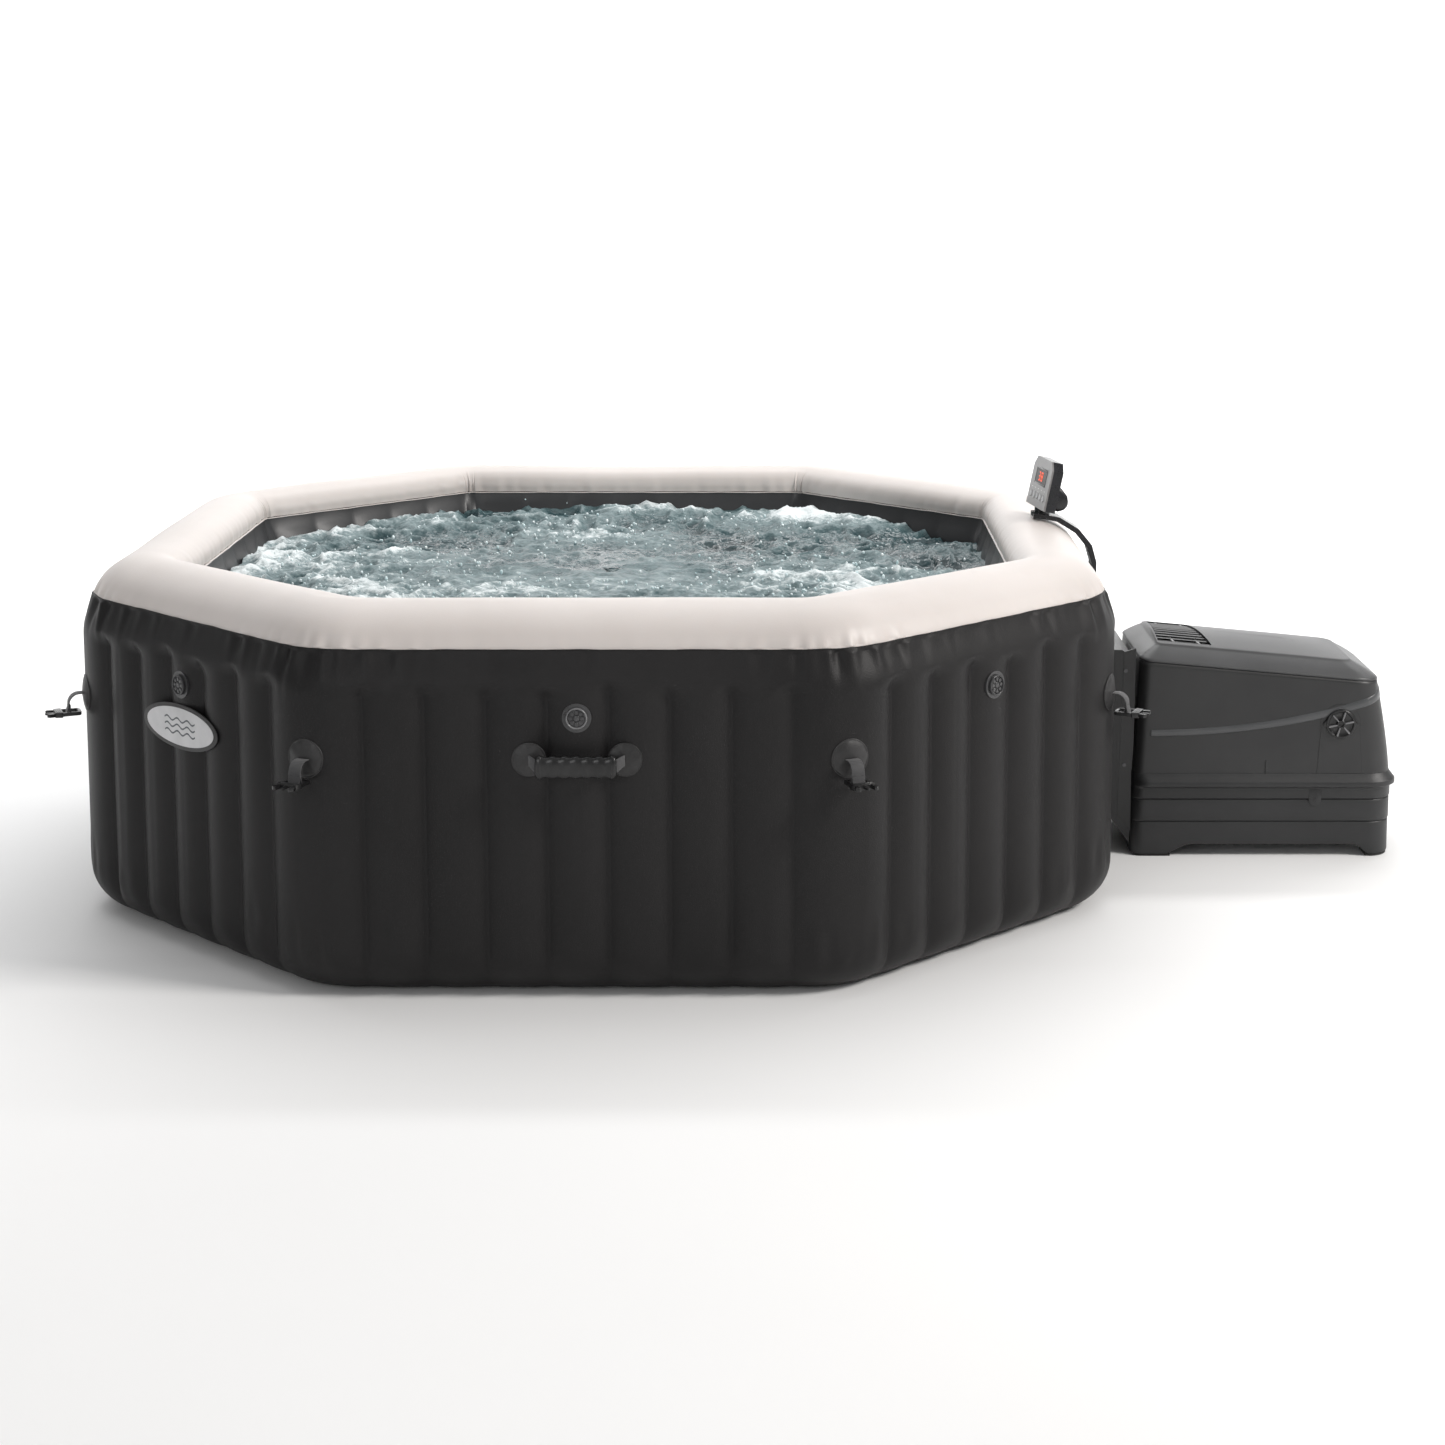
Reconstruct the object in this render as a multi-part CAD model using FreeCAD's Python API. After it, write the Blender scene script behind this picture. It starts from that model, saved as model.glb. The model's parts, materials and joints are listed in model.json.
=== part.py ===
"""Inflatable hot tub with its pump unit and control panel, one STEP file per sub-part, in millimetres.

The tub stands on the floor at z = 0 with its centre on the origin. The pump unit is on its +X side.
"""
import FreeCAD, Part
import math
import os
from FreeCAD import Vector

# Tub: an octagon of four long and four short sides, ribbed by upright beams of one width
ACROSS = 2010.0
HEIGHT = 690.0
LONG_BEAMS = 9
SHORT_BEAMS = 7
BEAM = ACROSS / (LONG_BEAMS + SHORT_BEAMS * math.sqrt(2))
HALF = ACROSS / 2
HALF_LONG = LONG_BEAMS * BEAM / 2
SHORT_SIDE_OUT = (HALF + HALF_LONG) / math.sqrt(2)
CORNER_ROUND = 230.0
BASE_SKIN = 3.0
FOOT_ROUND = 90.0
SEAM_Z = 620.0
WALL_MIDDLE = 112.0
WALL_INSET = 215.0
RIM_INSET = 198.0
CHANNEL = 60.0

# Sections of the wall's shoulder and of the pale roll as (inset, height), from the bottom up
SHOULDER = [(0, 520), (9, 575), (24, SEAM_Z)]
ROLL_OUTSIDE = [(24, SEAM_Z), (31, 636), (44, 653), (64, 670), (88, 682), (116, HEIGHT)]
ROLL_INSIDE = [(RIM_INSET + 8, SEAM_Z), (RIM_INSET, 634), (RIM_INSET - 6, 652), (178, 672), (158, 684),
               (130, HEIGHT)]

# Fittings on the tub wall
STRAP_Z = 430.0
STRAP_DROP = 37.0
STRAP_BEND = 20.0
STRAP_OUT = 34.0
STRAP_WIDTH = 24.0
STRAP_HALF_THICK = 1.0
EYE_R = 4.4
EYE_BORE = 2.7
CLIP_BAR_R = 2.4
CLIP_END = 78.0
CLIP_FRAME = 36.0
CLIP_WIDTH = 44.0
PATCH_R = 35.0
HANDLE_Z = 432.0
HANDLE_PATCH_R = 30.0
GRIP_Z = 426.0
HANDLE_HALF = 83.0
GRIP_LENGTH = 140.0
GRIP_OUT = 30.0
HANDLE_AXIS_OUT = 9.0
VALVE_Z = 505.0
VALVE_R = 19.0
VALVE_SEAT_R = 25.5
VALVE_STEM_R = 14.5
VALVE_HOLES = 8
VALVE_HOLES_OUT = 12.5
BADGE_Z = 427.0
BADGE_SIZE = (245.0, 84.0)
GAP = 0.3

# Pump unit
PUMP_X = (1083.0, 1626.0)
PUMP_Y = (-118.0, 192.0)
PUMP_ROUND = 50.0
LEAN_RIGHT = 31.0
LEAN_LEFT = 14.0
LEAN_TOP = 425.0
PUMP_LEFT_ROUND = 25.0
TRAY_FLOOR = 25.0
FLANGE_Z = 163.0
FLANGE_OUT = 12.0
TOP_Z = 450.0
TOP_SLOPE = 5.2
TOP_THICK = 35.0
TOP_BEVEL = 38.0
SHELL = 4.0
COWL_Y = (-96.0, 170.0)
COWL_TOP = 434.0
CAP_X = 1512.0
CAP_Z = 283.0
CAP_R = 31.0
DOOR_R = 42.0
PORT = (1463.0, 129.0)
INLET = (90.0, 110.0)
OUTLET = (-45.0, 112.0)
AIR = (22.0, 130.0)
PIPE_R = 22.0
PIPE_BORE = 18.0
WALL_HOLE_R = 24.5
FITTING_R = 23.8
FITTING_FLANGE_R = 31.0
NUT_R = 29.0
STRAINER_R = 34.0
FEET_X = ((1091.0, 1164.0), (1572.0, 1622.0))
FOOT_HIGH = 5.0
TRAY_GROOVES = (74.0, 122.0)
GLAND = (1540.0, 80.0)
PORT_HALF = 13.0
VENT_X = (PUMP_X[0] + 50, PUMP_X[0] + 135)
VENT_Y = (PUMP_Y[0] + 50, PUMP_Y[1] - 50)
VENT_SLOTS = 9
TRIM_LINE = [(1090, 259), (1305, 275), (1483, 319), (1585, 355)]
TRIM_HIGH = 12.0
SCREW_R = 4.0
COWL_SCREW_X = 1068.0
CAP_SPOKES = 6
CAN_R = 48.0
CAN_LENGTH = 180.0
CARTRIDGE_R = 40.0
PLEATS = 16
MOTOR_R = 48.0
MOTOR_X = (1231.0, 1380.0)
VOLUTE_X = (1180.0, 1230.0)
VOLUTE_R = 60.0
IMPELLER_R = 45.0
IMPELLER_BLADES = 6
HEATER_X = (1130.0, 1350.0)
HEATER_R = 26.0
BLOWER = (1185.0, 32.0)
AIR_RISER_X = 1150.0
BLOWER_R = 62.0
BLOWER_Z = (200.0, 290.0)
FAN_R = 52.0
FAN_BLADES = 8

# Control panel
PANEL_AT = (888.0, 40.0, 714.0)
PANEL_SWIVEL = 9.0
SEAT_TOP = 704.0
PANEL_LEAN = 12.0
PANEL_SIZE = (25.0, 145.0, 104.0)
KEY_R = 7.0
KEY_COUNT = 5
KEY_STEP = 24.0
KEY_Z = 24.0
PANEL_CUT = 18.0
WINDOW = ((-38.0, 38.0), (50.0, 80.0))
ARM_HALF = 30.0
SEAT_R = 20.0
POST_R = 12.0
POST_TOP = 730.0


def export(shape, node):
    shape.exportStep("parts/" + node + ".step")


def box(x, y, z):
    """A box from its (low, high) pairs."""
    return Part.makeBox(x[1] - x[0], y[1] - y[0], z[1] - z[0], Vector(x[0], y[0], z[0]))


def rod(radius, start, end):
    """A cylinder from one point to another."""
    start = Vector(*start)
    along = Vector(*end) - start
    return Part.makeCylinder(radius, along.Length, start, along)


def tube(outer, inner, start, end):
    return rod(outer, start, end).cut(rod(inner, start, end))


def placed(shape, at=(0, 0, 0), turn=0.0):
    """A copy of a shape turned about Z and then moved."""
    shape = shape.copy()
    shape.rotate(Vector(0, 0, 0), Vector(0, 0, 1), turn)
    shape.translate(Vector(*at))
    return shape


def many(shapes):
    return Part.makeCompound(shapes)


# ---------------------------------------------------------------- the tub

def corner_point(index, inset):
    """The sharp corner between octagon sides index and index + 1, and the direction out of it."""
    sides = [HALF, SHORT_SIDE_OUT]
    first = sides[index % 2] - inset
    second = sides[(index + 1) % 2] - inset
    side_turn = math.radians(45 * index)
    across = math.sqrt(2) * second - first
    x = first * math.cos(side_turn) - across * math.sin(side_turn)
    y = first * math.sin(side_turn) + across * math.cos(side_turn)
    return Vector(x, y, 0), 45 * index + 22.5


def octagon_wire(inset, z):
    """The octagon with round corners, its sides moved in by inset."""
    radius = max(CORNER_ROUND - inset, 25.0)
    reach = radius * math.tan(math.radians(22.5))
    bulge = radius * (1 / math.cos(math.radians(22.5)) - 1)
    arcs = []
    for index in range(8):
        corner, out = corner_point(index, inset)
        before = Vector(math.sin(math.radians(45 * index)), -math.cos(math.radians(45 * index)), 0)
        after = Vector(-math.sin(math.radians(45 * index + 45)), math.cos(math.radians(45 * index + 45)), 0)
        outward = Vector(math.cos(math.radians(out)), math.sin(math.radians(out)), 0)
        lift = Vector(0, 0, z)
        ends = (corner + before * reach + lift, corner + after * reach + lift)
        arcs.append((ends[0], corner - outward * bulge + lift, ends[1]))
    edges = []
    for index, (start, middle, end) in enumerate(arcs):
        edges.append(Part.Arc(start, middle, end).toShape())
        edges.append(Part.makeLine(end, arcs[(index + 1) % 8][0]))
    return Part.Wire(edges)


def octagon_solid(stations):
    """A solid through octagons given as (inset, z), from the bottom up."""
    return Part.makeLoft([octagon_wire(inset, z) for inset, z in stations], True, True)


def octagon_ring(outside, inside):
    return octagon_solid(outside).cut(octagon_solid(inside))


def foot_stations(steps=4):
    """The round edge where the wall meets the floor."""
    angles = [math.radians(90 * i / steps) for i in range(steps + 1)]
    return [(FOOT_ROUND * (1 - math.sin(a)), FOOT_ROUND * (1 - math.cos(a))) for a in angles]


def pipe_holes(radius):
    """The three holes through the wall where the pump unit's pipes pass."""
    return [rod(radius, (HALF - 260, y, z), (HALF + 20, y, z)) for y, z in (INLET, OUTLET, AIR)]


def valve_places():
    """(distance out from the centre, turn about Z) of the three air valves."""
    return {"front": (HALF, -90.0), "left": (SHORT_SIDE_OUT, -135.0), "right": (SHORT_SIDE_OUT, -45.0)}


def make_wall():
    foot = [(inset, z) for inset, z in foot_stations() if z > BASE_SKIN]
    foot.insert(0, (FOOT_ROUND - 23, BASE_SKIN))
    outer = octagon_ring(foot + SHOULDER, [(WALL_MIDDLE, BASE_SKIN), (WALL_MIDDLE, SEAM_Z)])
    for out, turn in valve_places().values():
        hole = rod(VALVE_SEAT_R + 0.5, (out - 30, 0, VALVE_Z), (out + 5, 0, VALVE_Z))
        outer = outer.cut(placed(hole, turn=turn))
    inner = octagon_ring([(WALL_MIDDLE + 1, BASE_SKIN), (WALL_MIDDLE + 1, SEAM_Z)],
                         [(WALL_INSET, BASE_SKIN), (WALL_INSET, 560), (RIM_INSET + 8, SEAM_Z)])
    for hole in pipe_holes(WALL_HOLE_R):
        outer = outer.cut(hole)
        inner = inner.cut(hole)
    export(outer, "outer_wall")
    export(inner, "inner_wall")
    export(octagon_ring(ROLL_OUTSIDE, ROLL_INSIDE), "top_roll")


def make_floor():
    export(octagon_solid([(FOOT_ROUND, 0), (FOOT_ROUND - 24, BASE_SKIN)]), "base_skin")
    export(octagon_solid([(WALL_INSET + 1, BASE_SKIN), (WALL_INSET + 1, BASE_SKIN + 6)]), "floor_sheet")
    low = BASE_SKIN + 7
    far = WALL_INSET + 1 + CHANNEL
    channel = octagon_ring([(WALL_INSET + 1, low), (WALL_INSET + 1, low + CHANNEL)],
                           [(far, low), (far, low + CHANNEL)])
    inner_x = HALF - WALL_INSET
    riser = box((inner_x - 22, inner_x - 1), (AIR[0] - 15, AIR[0] + 15), (low + CHANNEL, 158))
    export(channel.fuse(riser).removeSplitter(), "bubble_channel")


def make_valves():
    bases = []
    for name, (out, turn) in valve_places().items():
        seat = tube(VALVE_SEAT_R, VALVE_STEM_R + 0.5, (out - 28, 0, VALVE_Z), (out + 0.5, 0, VALVE_Z))
        bases.append(placed(seat, turn=turn))
        cap = rod(VALVE_R, (out + 1, 0, VALVE_Z), (out + 7, 0, VALVE_Z))
        for i in range(VALVE_HOLES):
            around = 2 * math.pi * i / VALVE_HOLES
            y = VALVE_HOLES_OUT * math.cos(around)
            z = VALVE_Z + VALVE_HOLES_OUT * math.sin(around)
            cap = cap.cut(rod(3.4, (out + 3.5, y, z), (out + 9, y, z)))
        stem = rod(VALVE_STEM_R, (out - 14, 0, VALVE_Z), (out + 1, 0, VALVE_Z))
        export(placed(cap.fuse(stem), turn=turn), "valve_cap_" + name)
    export(many(bases), "valve_bases")


def domed_patch(radius, height, at, turn):
    """A low patch on a wall, raised in the middle, facing out along the turned X axis."""
    return placed(Part.makeCone(radius, radius * 0.5, height, Vector(0, 0, 0), Vector(1, 0, 0)), at, turn)


def corner_places():
    """The eight wall corners by name: where the round corner's skin is, and the direction out of it."""
    names = ["right_back", "back_right", "back_left", "left_back", "left_front", "front_left", "front_right",
             "right_front"]
    bulge = CORNER_ROUND * (1 / math.cos(math.radians(22.5)) - 1)
    places = {}
    for index, name in enumerate(names):
        corner, out = corner_point(index, 0)
        outward = Vector(math.cos(math.radians(out)), math.sin(math.radians(out)), 0)
        skin = corner - outward * bulge
        places[name] = ((skin.x, skin.y, 0), out)
    return places


def make_webbing():
    """A strap that leaves the patch level, bends down and ends in an eye for the clip's bar."""
    half = STRAP_WIDTH / 2
    bend_x = STRAP_OUT - STRAP_BEND
    bend_z = STRAP_Z - STRAP_BEND
    low = STRAP_Z - STRAP_DROP
    thick = STRAP_HALF_THICK
    strap = box((5.3, bend_x), (-half, half), (STRAP_Z - thick, STRAP_Z + thick))
    bend = tube(STRAP_BEND + thick, STRAP_BEND - thick, (bend_x, -half, bend_z), (bend_x, half, bend_z))
    strap = strap.fuse(bend.common(box((bend_x, 100), (-half, half), (bend_z, 600))))
    strap = strap.fuse(box((STRAP_OUT - thick, STRAP_OUT + thick), (-half, half), (low, bend_z)))
    strap = strap.fuse(rod(EYE_R, (STRAP_OUT, -half, low), (STRAP_OUT, half, low)))
    return strap.cut(rod(EYE_BORE, (STRAP_OUT, -half, low), (STRAP_OUT, half, low)))


def make_clip():
    """A side-release clip: a frame round the bar in the strap's eye, a flat body and three prongs."""
    low = STRAP_Z - STRAP_DROP
    frame = CLIP_FRAME / 2
    half = CLIP_WIDTH / 2
    clip = rod(CLIP_BAR_R, (STRAP_OUT, -frame, low), (STRAP_OUT, frame, low))
    clip = clip.fuse(box((12, 17), (-frame, frame), (low - 4, low + 4)))
    for side in (-1, 1):
        cheek = sorted((side * (frame - 5), side * frame))
        clip = clip.fuse(box((12, 48), cheek, (low - 4, low + 4)))
        prong = sorted((side * (half - 8), side * (half - 1)))
        clip = clip.fuse(box((60, CLIP_END - 2), prong, (low - 4, low + 4)))
    clip = clip.fuse(box((46, 61), (-half, half), (low - 6, low + 6)))
    clip = clip.fuse(box((60, CLIP_END), (-3.5, 3.5), (low - 3, low + 3)))
    return clip.removeSplitter()


def make_straps():
    patches = []
    straps = []
    for name, (at, turn) in corner_places().items():
        patches.append(domed_patch(PATCH_R, 5, (at[0], at[1], STRAP_Z), turn))
        straps.append(placed(make_webbing(), at, turn))
        export(placed(make_clip(), at, turn), "clip_" + name)
    export(many(patches), "strap_patches")
    export(many(straps), "strap_webbing")


def handle_tab(side):
    """The webbing between a grip's end and its patch, narrower and nearer the wall at the patch."""
    near = side * (GRIP_LENGTH / 2 + 0.2)
    far = side * (HANDLE_HALF + 4)
    wires = []
    for y, out, z, half_high in ((near, GRIP_OUT, GRIP_Z, 13), (far, HANDLE_AXIS_OUT, HANDLE_Z, 5)):
        corners = [(out - 1, half_high), (out + 1, half_high), (out + 1, -half_high), (out - 1, -half_high)]
        points = [Vector(x, y, z + up) for x, up in corners]
        wires.append(Part.makePolygon(points + points[:1]))
    return Part.makeLoft(wires, True, True)


def make_handles():
    """A carrying grip on webbing tabs between two patches, on the front and the back side."""
    patches = []
    for name, turn in (("front", -90.0), ("back", 90.0)):
        at = (0, HALF, 0) if name == "back" else (0, -HALF, 0)
        for side in (-1, 1):
            spot = (side * HANDLE_HALF, at[1], HANDLE_Z)
            patches.append(domed_patch(HANDLE_PATCH_R, 4, spot, turn))
        half = GRIP_LENGTH / 2
        grip = box((GRIP_OUT - 8, GRIP_OUT + 8), (-half, half), (GRIP_Z - 20, GRIP_Z + 20))
        grip = grip.makeFillet(7, [e for e in grip.Edges if abs(e.Length - GRIP_LENGTH) < 1])
        tabs = [handle_tab(side) for side in (-1, 1)]
        export(placed(many([grip] + tabs), at, turn), "handle_" + name)
    export(many(patches), "handle_patches")


def make_badge():
    half_long, half_high = BADGE_SIZE[0] / 2, BADGE_SIZE[1] / 2
    ellipse = Part.Ellipse(Vector(0, 0, 0), half_long, half_high)
    face = Part.Face(Part.Wire(ellipse.toShape()))
    badge = face.extrude(Vector(0, 0, 3))
    badge.rotate(Vector(0, 0, 0), Vector(0, 0, 1), 90)
    badge.rotate(Vector(0, 0, 0), Vector(0, 1, 0), 90)
    export(placed(badge.translated(Vector(SHORT_SIDE_OUT + GAP, 0, BADGE_Z)), turn=-135.0), "badge")


def make_plumbing():
    fittings = []
    nuts = []
    strainers = []
    inner_x = HALF - WALL_INSET
    for y, z in (INLET, OUTLET, AIR):
        fitting = rod(FITTING_R, (inner_x, y, z), (HALF + 1, y, z))
        fitting = fitting.fuse(rod(FITTING_FLANGE_R, (HALF + 1, y, z), (HALF + 7, y, z)))
        fittings.append(fitting.cut(rod(PIPE_BORE, (inner_x - 1, y, z), (HALF + 8, y, z))))
        nuts.append(tube(NUT_R, PIPE_R + GAP, (HALF + 8, y, z), (HALF + 30, y, z)))
    for y, z in (INLET, OUTLET):
        disc = rod(STRAINER_R, (inner_x - 12, y, z), (inner_x - 1, y, z))
        for step in range(-2, 3):
            slot = y + 10 * step
            disc = disc.cut(box((inner_x - 13, inner_x), (slot - 2.5, slot + 2.5), (z - 22, z + 22)))
        strainers.append(disc)
    export(many(fittings), "wall_fittings")
    export(many(nuts), "union_nuts")
    export(many(strainers), "strainers")
    start = HALF + 8
    water_in = tube(PIPE_R, PIPE_BORE, (start, *INLET), (VOLUTE_X[0] - 1, *INLET))
    water_out = tube(PIPE_R, PIPE_BORE, (start, *OUTLET), (HEATER_X[0] - 1, *OUTLET))
    knee = (AIR_RISER_X, *AIR)
    top = BLOWER_Z[0] - 1
    air = rod(PIPE_R, (start, *AIR), knee).fuse(rod(PIPE_R, knee, (AIR_RISER_X, AIR[0], top)))
    air = air.fuse(Part.makeSphere(PIPE_R, Vector(*knee)))
    hollow = rod(PIPE_BORE, (start - 1, *AIR), knee)
    hollow = hollow.fuse(rod(PIPE_BORE, knee, (AIR_RISER_X, AIR[0], top + 1)))
    air = air.cut(hollow.fuse(Part.makeSphere(PIPE_BORE, Vector(*knee))))
    export(many([water_in, water_out, air]), "pipes")


# ---------------------------------------------------------------- the pump unit

def pump_block(grow, low, high):
    """A block on the unit's plan outline, its sides moved out by grow."""
    x = (PUMP_X[0] - grow, PUMP_X[1] + grow)
    y = (PUMP_Y[0] - grow, PUMP_Y[1] + grow)
    block = box(x, y, (low, high))
    upright = [e for e in block.Edges if abs(e.Length - (high - low)) < 1e-6]
    right = [e for e in upright if e.CenterOfMass.x > x[1] - 1]
    block = block.makeFillet(PUMP_ROUND + grow, right)
    upright = [e for e in block.Edges if abs(e.Length - (high - low)) < 1e-6]
    left = [e for e in upright if e.CenterOfMass.x < x[0] + 1]
    return block.makeFillet(PUMP_LEFT_ROUND + grow, left)


def pump_wire(z, grow, bevel=0.0):
    """The upper cover's outline at one height: its two ends lean in as it rises."""
    share = (z - FLANGE_Z) / (LEAN_TOP - FLANGE_Z)
    left = PUMP_X[0] + LEAN_LEFT * share - grow + bevel
    right = PUMP_X[1] - LEAN_RIGHT * share + grow - bevel
    front = PUMP_Y[0] - grow + bevel
    back = PUMP_Y[1] + grow - bevel
    small = PUMP_LEFT_ROUND + grow - bevel * 0.4
    large = PUMP_ROUND + grow - bevel * 0.4
    diagonal = 1 - math.sqrt(0.5)
    edges = []
    last = None
    for x, y, way_x, way_y, radius in ((left, front, 1, 1, small), (right, front, -1, 1, large),
                                       (right, back, -1, -1, large), (left, back, 1, -1, small)):
        along_x = Vector(x + way_x * radius, y, z)
        along_y = Vector(x, y + way_y * radius, z)
        middle = Vector(x + way_x * radius * diagonal, y + way_y * radius * diagonal, z)
        start, end = (along_y, along_x) if way_x == way_y else (along_x, along_y)
        if last:
            edges.append(Part.makeLine(last, start))
        edges.append(Part.Arc(start, middle, end).toShape())
        last = end
    edges.append(Part.makeLine(last, edges[0].Vertexes[0].Point))
    return Part.Wire(edges)


def leaning_block(grow, low, high):
    return Part.makeLoft([pump_wire(low, grow), pump_wire(high, grow)], True, True)


def tilted(shape):
    """A shape made level at z = 0 from the unit's left end, laid on the sloping top."""
    shape = shape.copy()
    shape.rotate(Vector(PUMP_X[0], 0, 0), Vector(0, 1, 0), TOP_SLOPE)
    shape.translate(Vector(0, 0, TOP_Z))
    return shape


def pipe_cuts():
    """The clearance holes in the unit's left side for the three pipes."""
    left = PUMP_X[0]
    return [rod(PIPE_R + GAP, (left - 200, y, z), (left + 20, y, z)) for y, z in (INLET, OUTLET, AIR)]


def gland_rod(radius, start, end):
    """A cylinder through the back of the tray where the power cord would pass."""
    return rod(radius, (GLAND[0], PUMP_Y[1] + start, GLAND[1]), (GLAND[0], PUMP_Y[1] + end, GLAND[1]))


def make_tray():
    tray = pump_block(0, TRAY_FLOOR, FLANGE_Z).cut(pump_block(-SHELL, TRAY_FLOOR + SHELL, FLANGE_Z + 1))
    flange = pump_block(FLANGE_OUT, FLANGE_Z - 12, FLANGE_Z).cut(pump_block(0, FLANGE_Z - 13, FLANGE_Z + 1))
    tray = tray.fuse(flange.cut(box((PUMP_X[0] - 50, PUMP_X[0]), (-400, 400), (0, 400))))
    for z in TRAY_GROOVES:
        tray = tray.cut(pump_block(5, z - 1.5, z + 1.5).cut(pump_block(-1.5, z - 2, z + 2)))
    feet = []
    for x in FEET_X:
        for y in ((PUMP_Y[0] + 3, PUMP_Y[0] + 60), (PUMP_Y[1] - 60, PUMP_Y[1] - 3)):
            leg = box(x, y, (FOOT_HIGH, TRAY_FLOOR)).common(pump_block(-2, 0, TRAY_FLOOR))
            tray = tray.fuse(leg)
            feet.append(box(x, y, (0, FOOT_HIGH)).common(pump_block(-2, 0, TRAY_FLOOR)))
    for hole in pipe_cuts():
        tray = tray.cut(hole)
    tray = tray.cut(gland_rod(11.2, -20, 20))
    tray = tray.cut(rod(5, (PORT[0], PUMP_Y[0] - 20, PORT[1]), (PORT[0], PUMP_Y[0] + 20, PORT[1])))
    export(tray, "base_tray")
    export(many(feet), "rubber_feet")
    export(gland_rod(11, -8, 12).fuse(gland_rod(16, 0.2, 5)).cut(gland_rod(4.5, -9, 13)), "cord_gland")
    x, z = PORT
    front = PUMP_Y[0]
    plate = box((x - PORT_HALF, x + PORT_HALF), (front - 4, front), (z - 20, z + 2))
    plate = plate.fuse(rod(PORT_HALF, (x, front - 4, z + 2), (x, front, z + 2)))
    export(plate.cut(rod(5, (x, front - 5, z), (x, front + 1, z))), "port_cover")


def door_shape(grow):
    """The arched filter door's outline as a block that runs through the front wall."""
    y = (PUMP_Y[0] - 5, PUMP_Y[0] + SHELL)
    arch = rod(DOOR_R + grow, (CAP_X, y[0], CAP_Z), (CAP_X, y[1], CAP_Z))
    legs = box((CAP_X - DOOR_R - grow, CAP_X + DOOR_R + grow), y, (FLANGE_Z + 6 - grow, CAP_Z))
    return arch.fuse(legs).removeSplitter()


def make_covers():
    body_cut = tilted(box((PUMP_X[0] - 100, PUMP_X[1] + 100), (-400, 400), (-TOP_THICK - GAP, 400)))
    tall = FLANGE_Z + 320
    wall = leaning_block(0, FLANGE_Z, tall).cut(leaning_block(-SHELL, FLANGE_Z - 1, tall + 1)).cut(body_cut)
    for hole in pipe_cuts():
        wall = wall.cut(hole)
    wall = wall.cut(door_shape(GAP))
    export(wall, "upper_cover")
    door = door_shape(0).common(box((1300, 1700), (PUMP_Y[0] - 1.5, PUMP_Y[0] + SHELL), (0, 600)))
    export(door.cut(rod(CAP_R - 8, (CAP_X, -200, CAP_Z), (CAP_X, 0, CAP_Z))), "filter_door")
    rim = pump_wire(LEAN_TOP, 0).translated(Vector(0, 0, -LEAN_TOP - TOP_THICK))
    crest = pump_wire(LEAN_TOP, 0, TOP_BEVEL).translated(Vector(0, 0, -LEAN_TOP))
    lid = Part.makeLoft([rim, crest], True, True)
    export(tilted(lid.cut(box(VENT_X, VENT_Y, (-TOP_THICK - 1, 1)))), "top_cover")
    frame = box((VENT_X[0] + 1, VENT_X[1] - 1), (VENT_Y[0] + 1, VENT_Y[1] - 1), (-20, -3))
    slot_step = (VENT_Y[1] - VENT_Y[0] - 20) / VENT_SLOTS
    for i in range(VENT_SLOTS):
        y = VENT_Y[0] + 12 + i * slot_step
        frame = frame.cut(box((VENT_X[0] + 8, VENT_X[1] - 8), (y, y + slot_step * 0.6), (-21, 1)))
    export(tilted(frame), "vent_grille")


def make_trim():
    """The curved band that rises along the front of the unit and round its right end."""
    points = [Vector(x, -200, z) for x, z in TRIM_LINE]
    rise = Vector(0, 0, TRIM_HIGH)
    lower = Part.BSplineCurve()
    lower.interpolate(points)
    upper = Part.BSplineCurve()
    upper.interpolate([p + rise for p in points])
    ends = [Part.makeLine(p, p + rise) for p in (points[0], points[-1])]
    outline = Part.Wire(Part.__sortEdges__([lower.toShape(), upper.toShape()] + ends))
    band = Part.Face(outline).extrude(Vector(0, 200 + (PUMP_Y[0] + PUMP_Y[1]) / 2, 0))
    skin = leaning_block(3, FLANGE_Z + 2, 420).cut(leaning_block(0, FLANGE_Z, 430))
    export(skin.common(band).cut(door_shape(1)), "swoosh_trim")


def make_cowl():
    """The hood over the pipes between the tub wall and the pump unit."""
    def profile(shrink):
        near = HALF + 1.5
        far = PUMP_X[0] - 1.5
        points = [(near, 122 + shrink), (far, 22 + shrink), (far, COWL_TOP - 14 - shrink),
                  (far - 22, COWL_TOP - shrink), (near, COWL_TOP - shrink)]
        y = (COWL_Y[0] + shrink, COWL_Y[1] - shrink)
        outline = [Vector(px, y[0], pz) for px, pz in points]
        return Part.Face(Part.makePolygon(outline + outline[:1])).extrude(Vector(0, y[1] - y[0], 0))
    cowl = profile(0).cut(profile(SHELL))
    for y, z in (INLET, OUTLET, AIR):
        cowl = cowl.cut(rod(33, (HALF, y, z), (PUMP_X[0] + 5, y, z)))
    export(cowl, "neck_cowl")
    screws = []
    for z in (190, 390):
        for y, way in ((COWL_Y[0], -1), (COWL_Y[1], 1)):
            screws.append(rod(SCREW_R, (COWL_SCREW_X, y, z), (COWL_SCREW_X, y + way * 2.5, z)))
    for x in (1200, 1330, 1460):
        for y in (PUMP_Y[0] + 30, PUMP_Y[1] - 30):
            screws.append(rod(SCREW_R, (x, y, TRAY_FLOOR - 2.5), (x, y, TRAY_FLOOR)))
    export(many(screws), "housing_screws")


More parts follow.
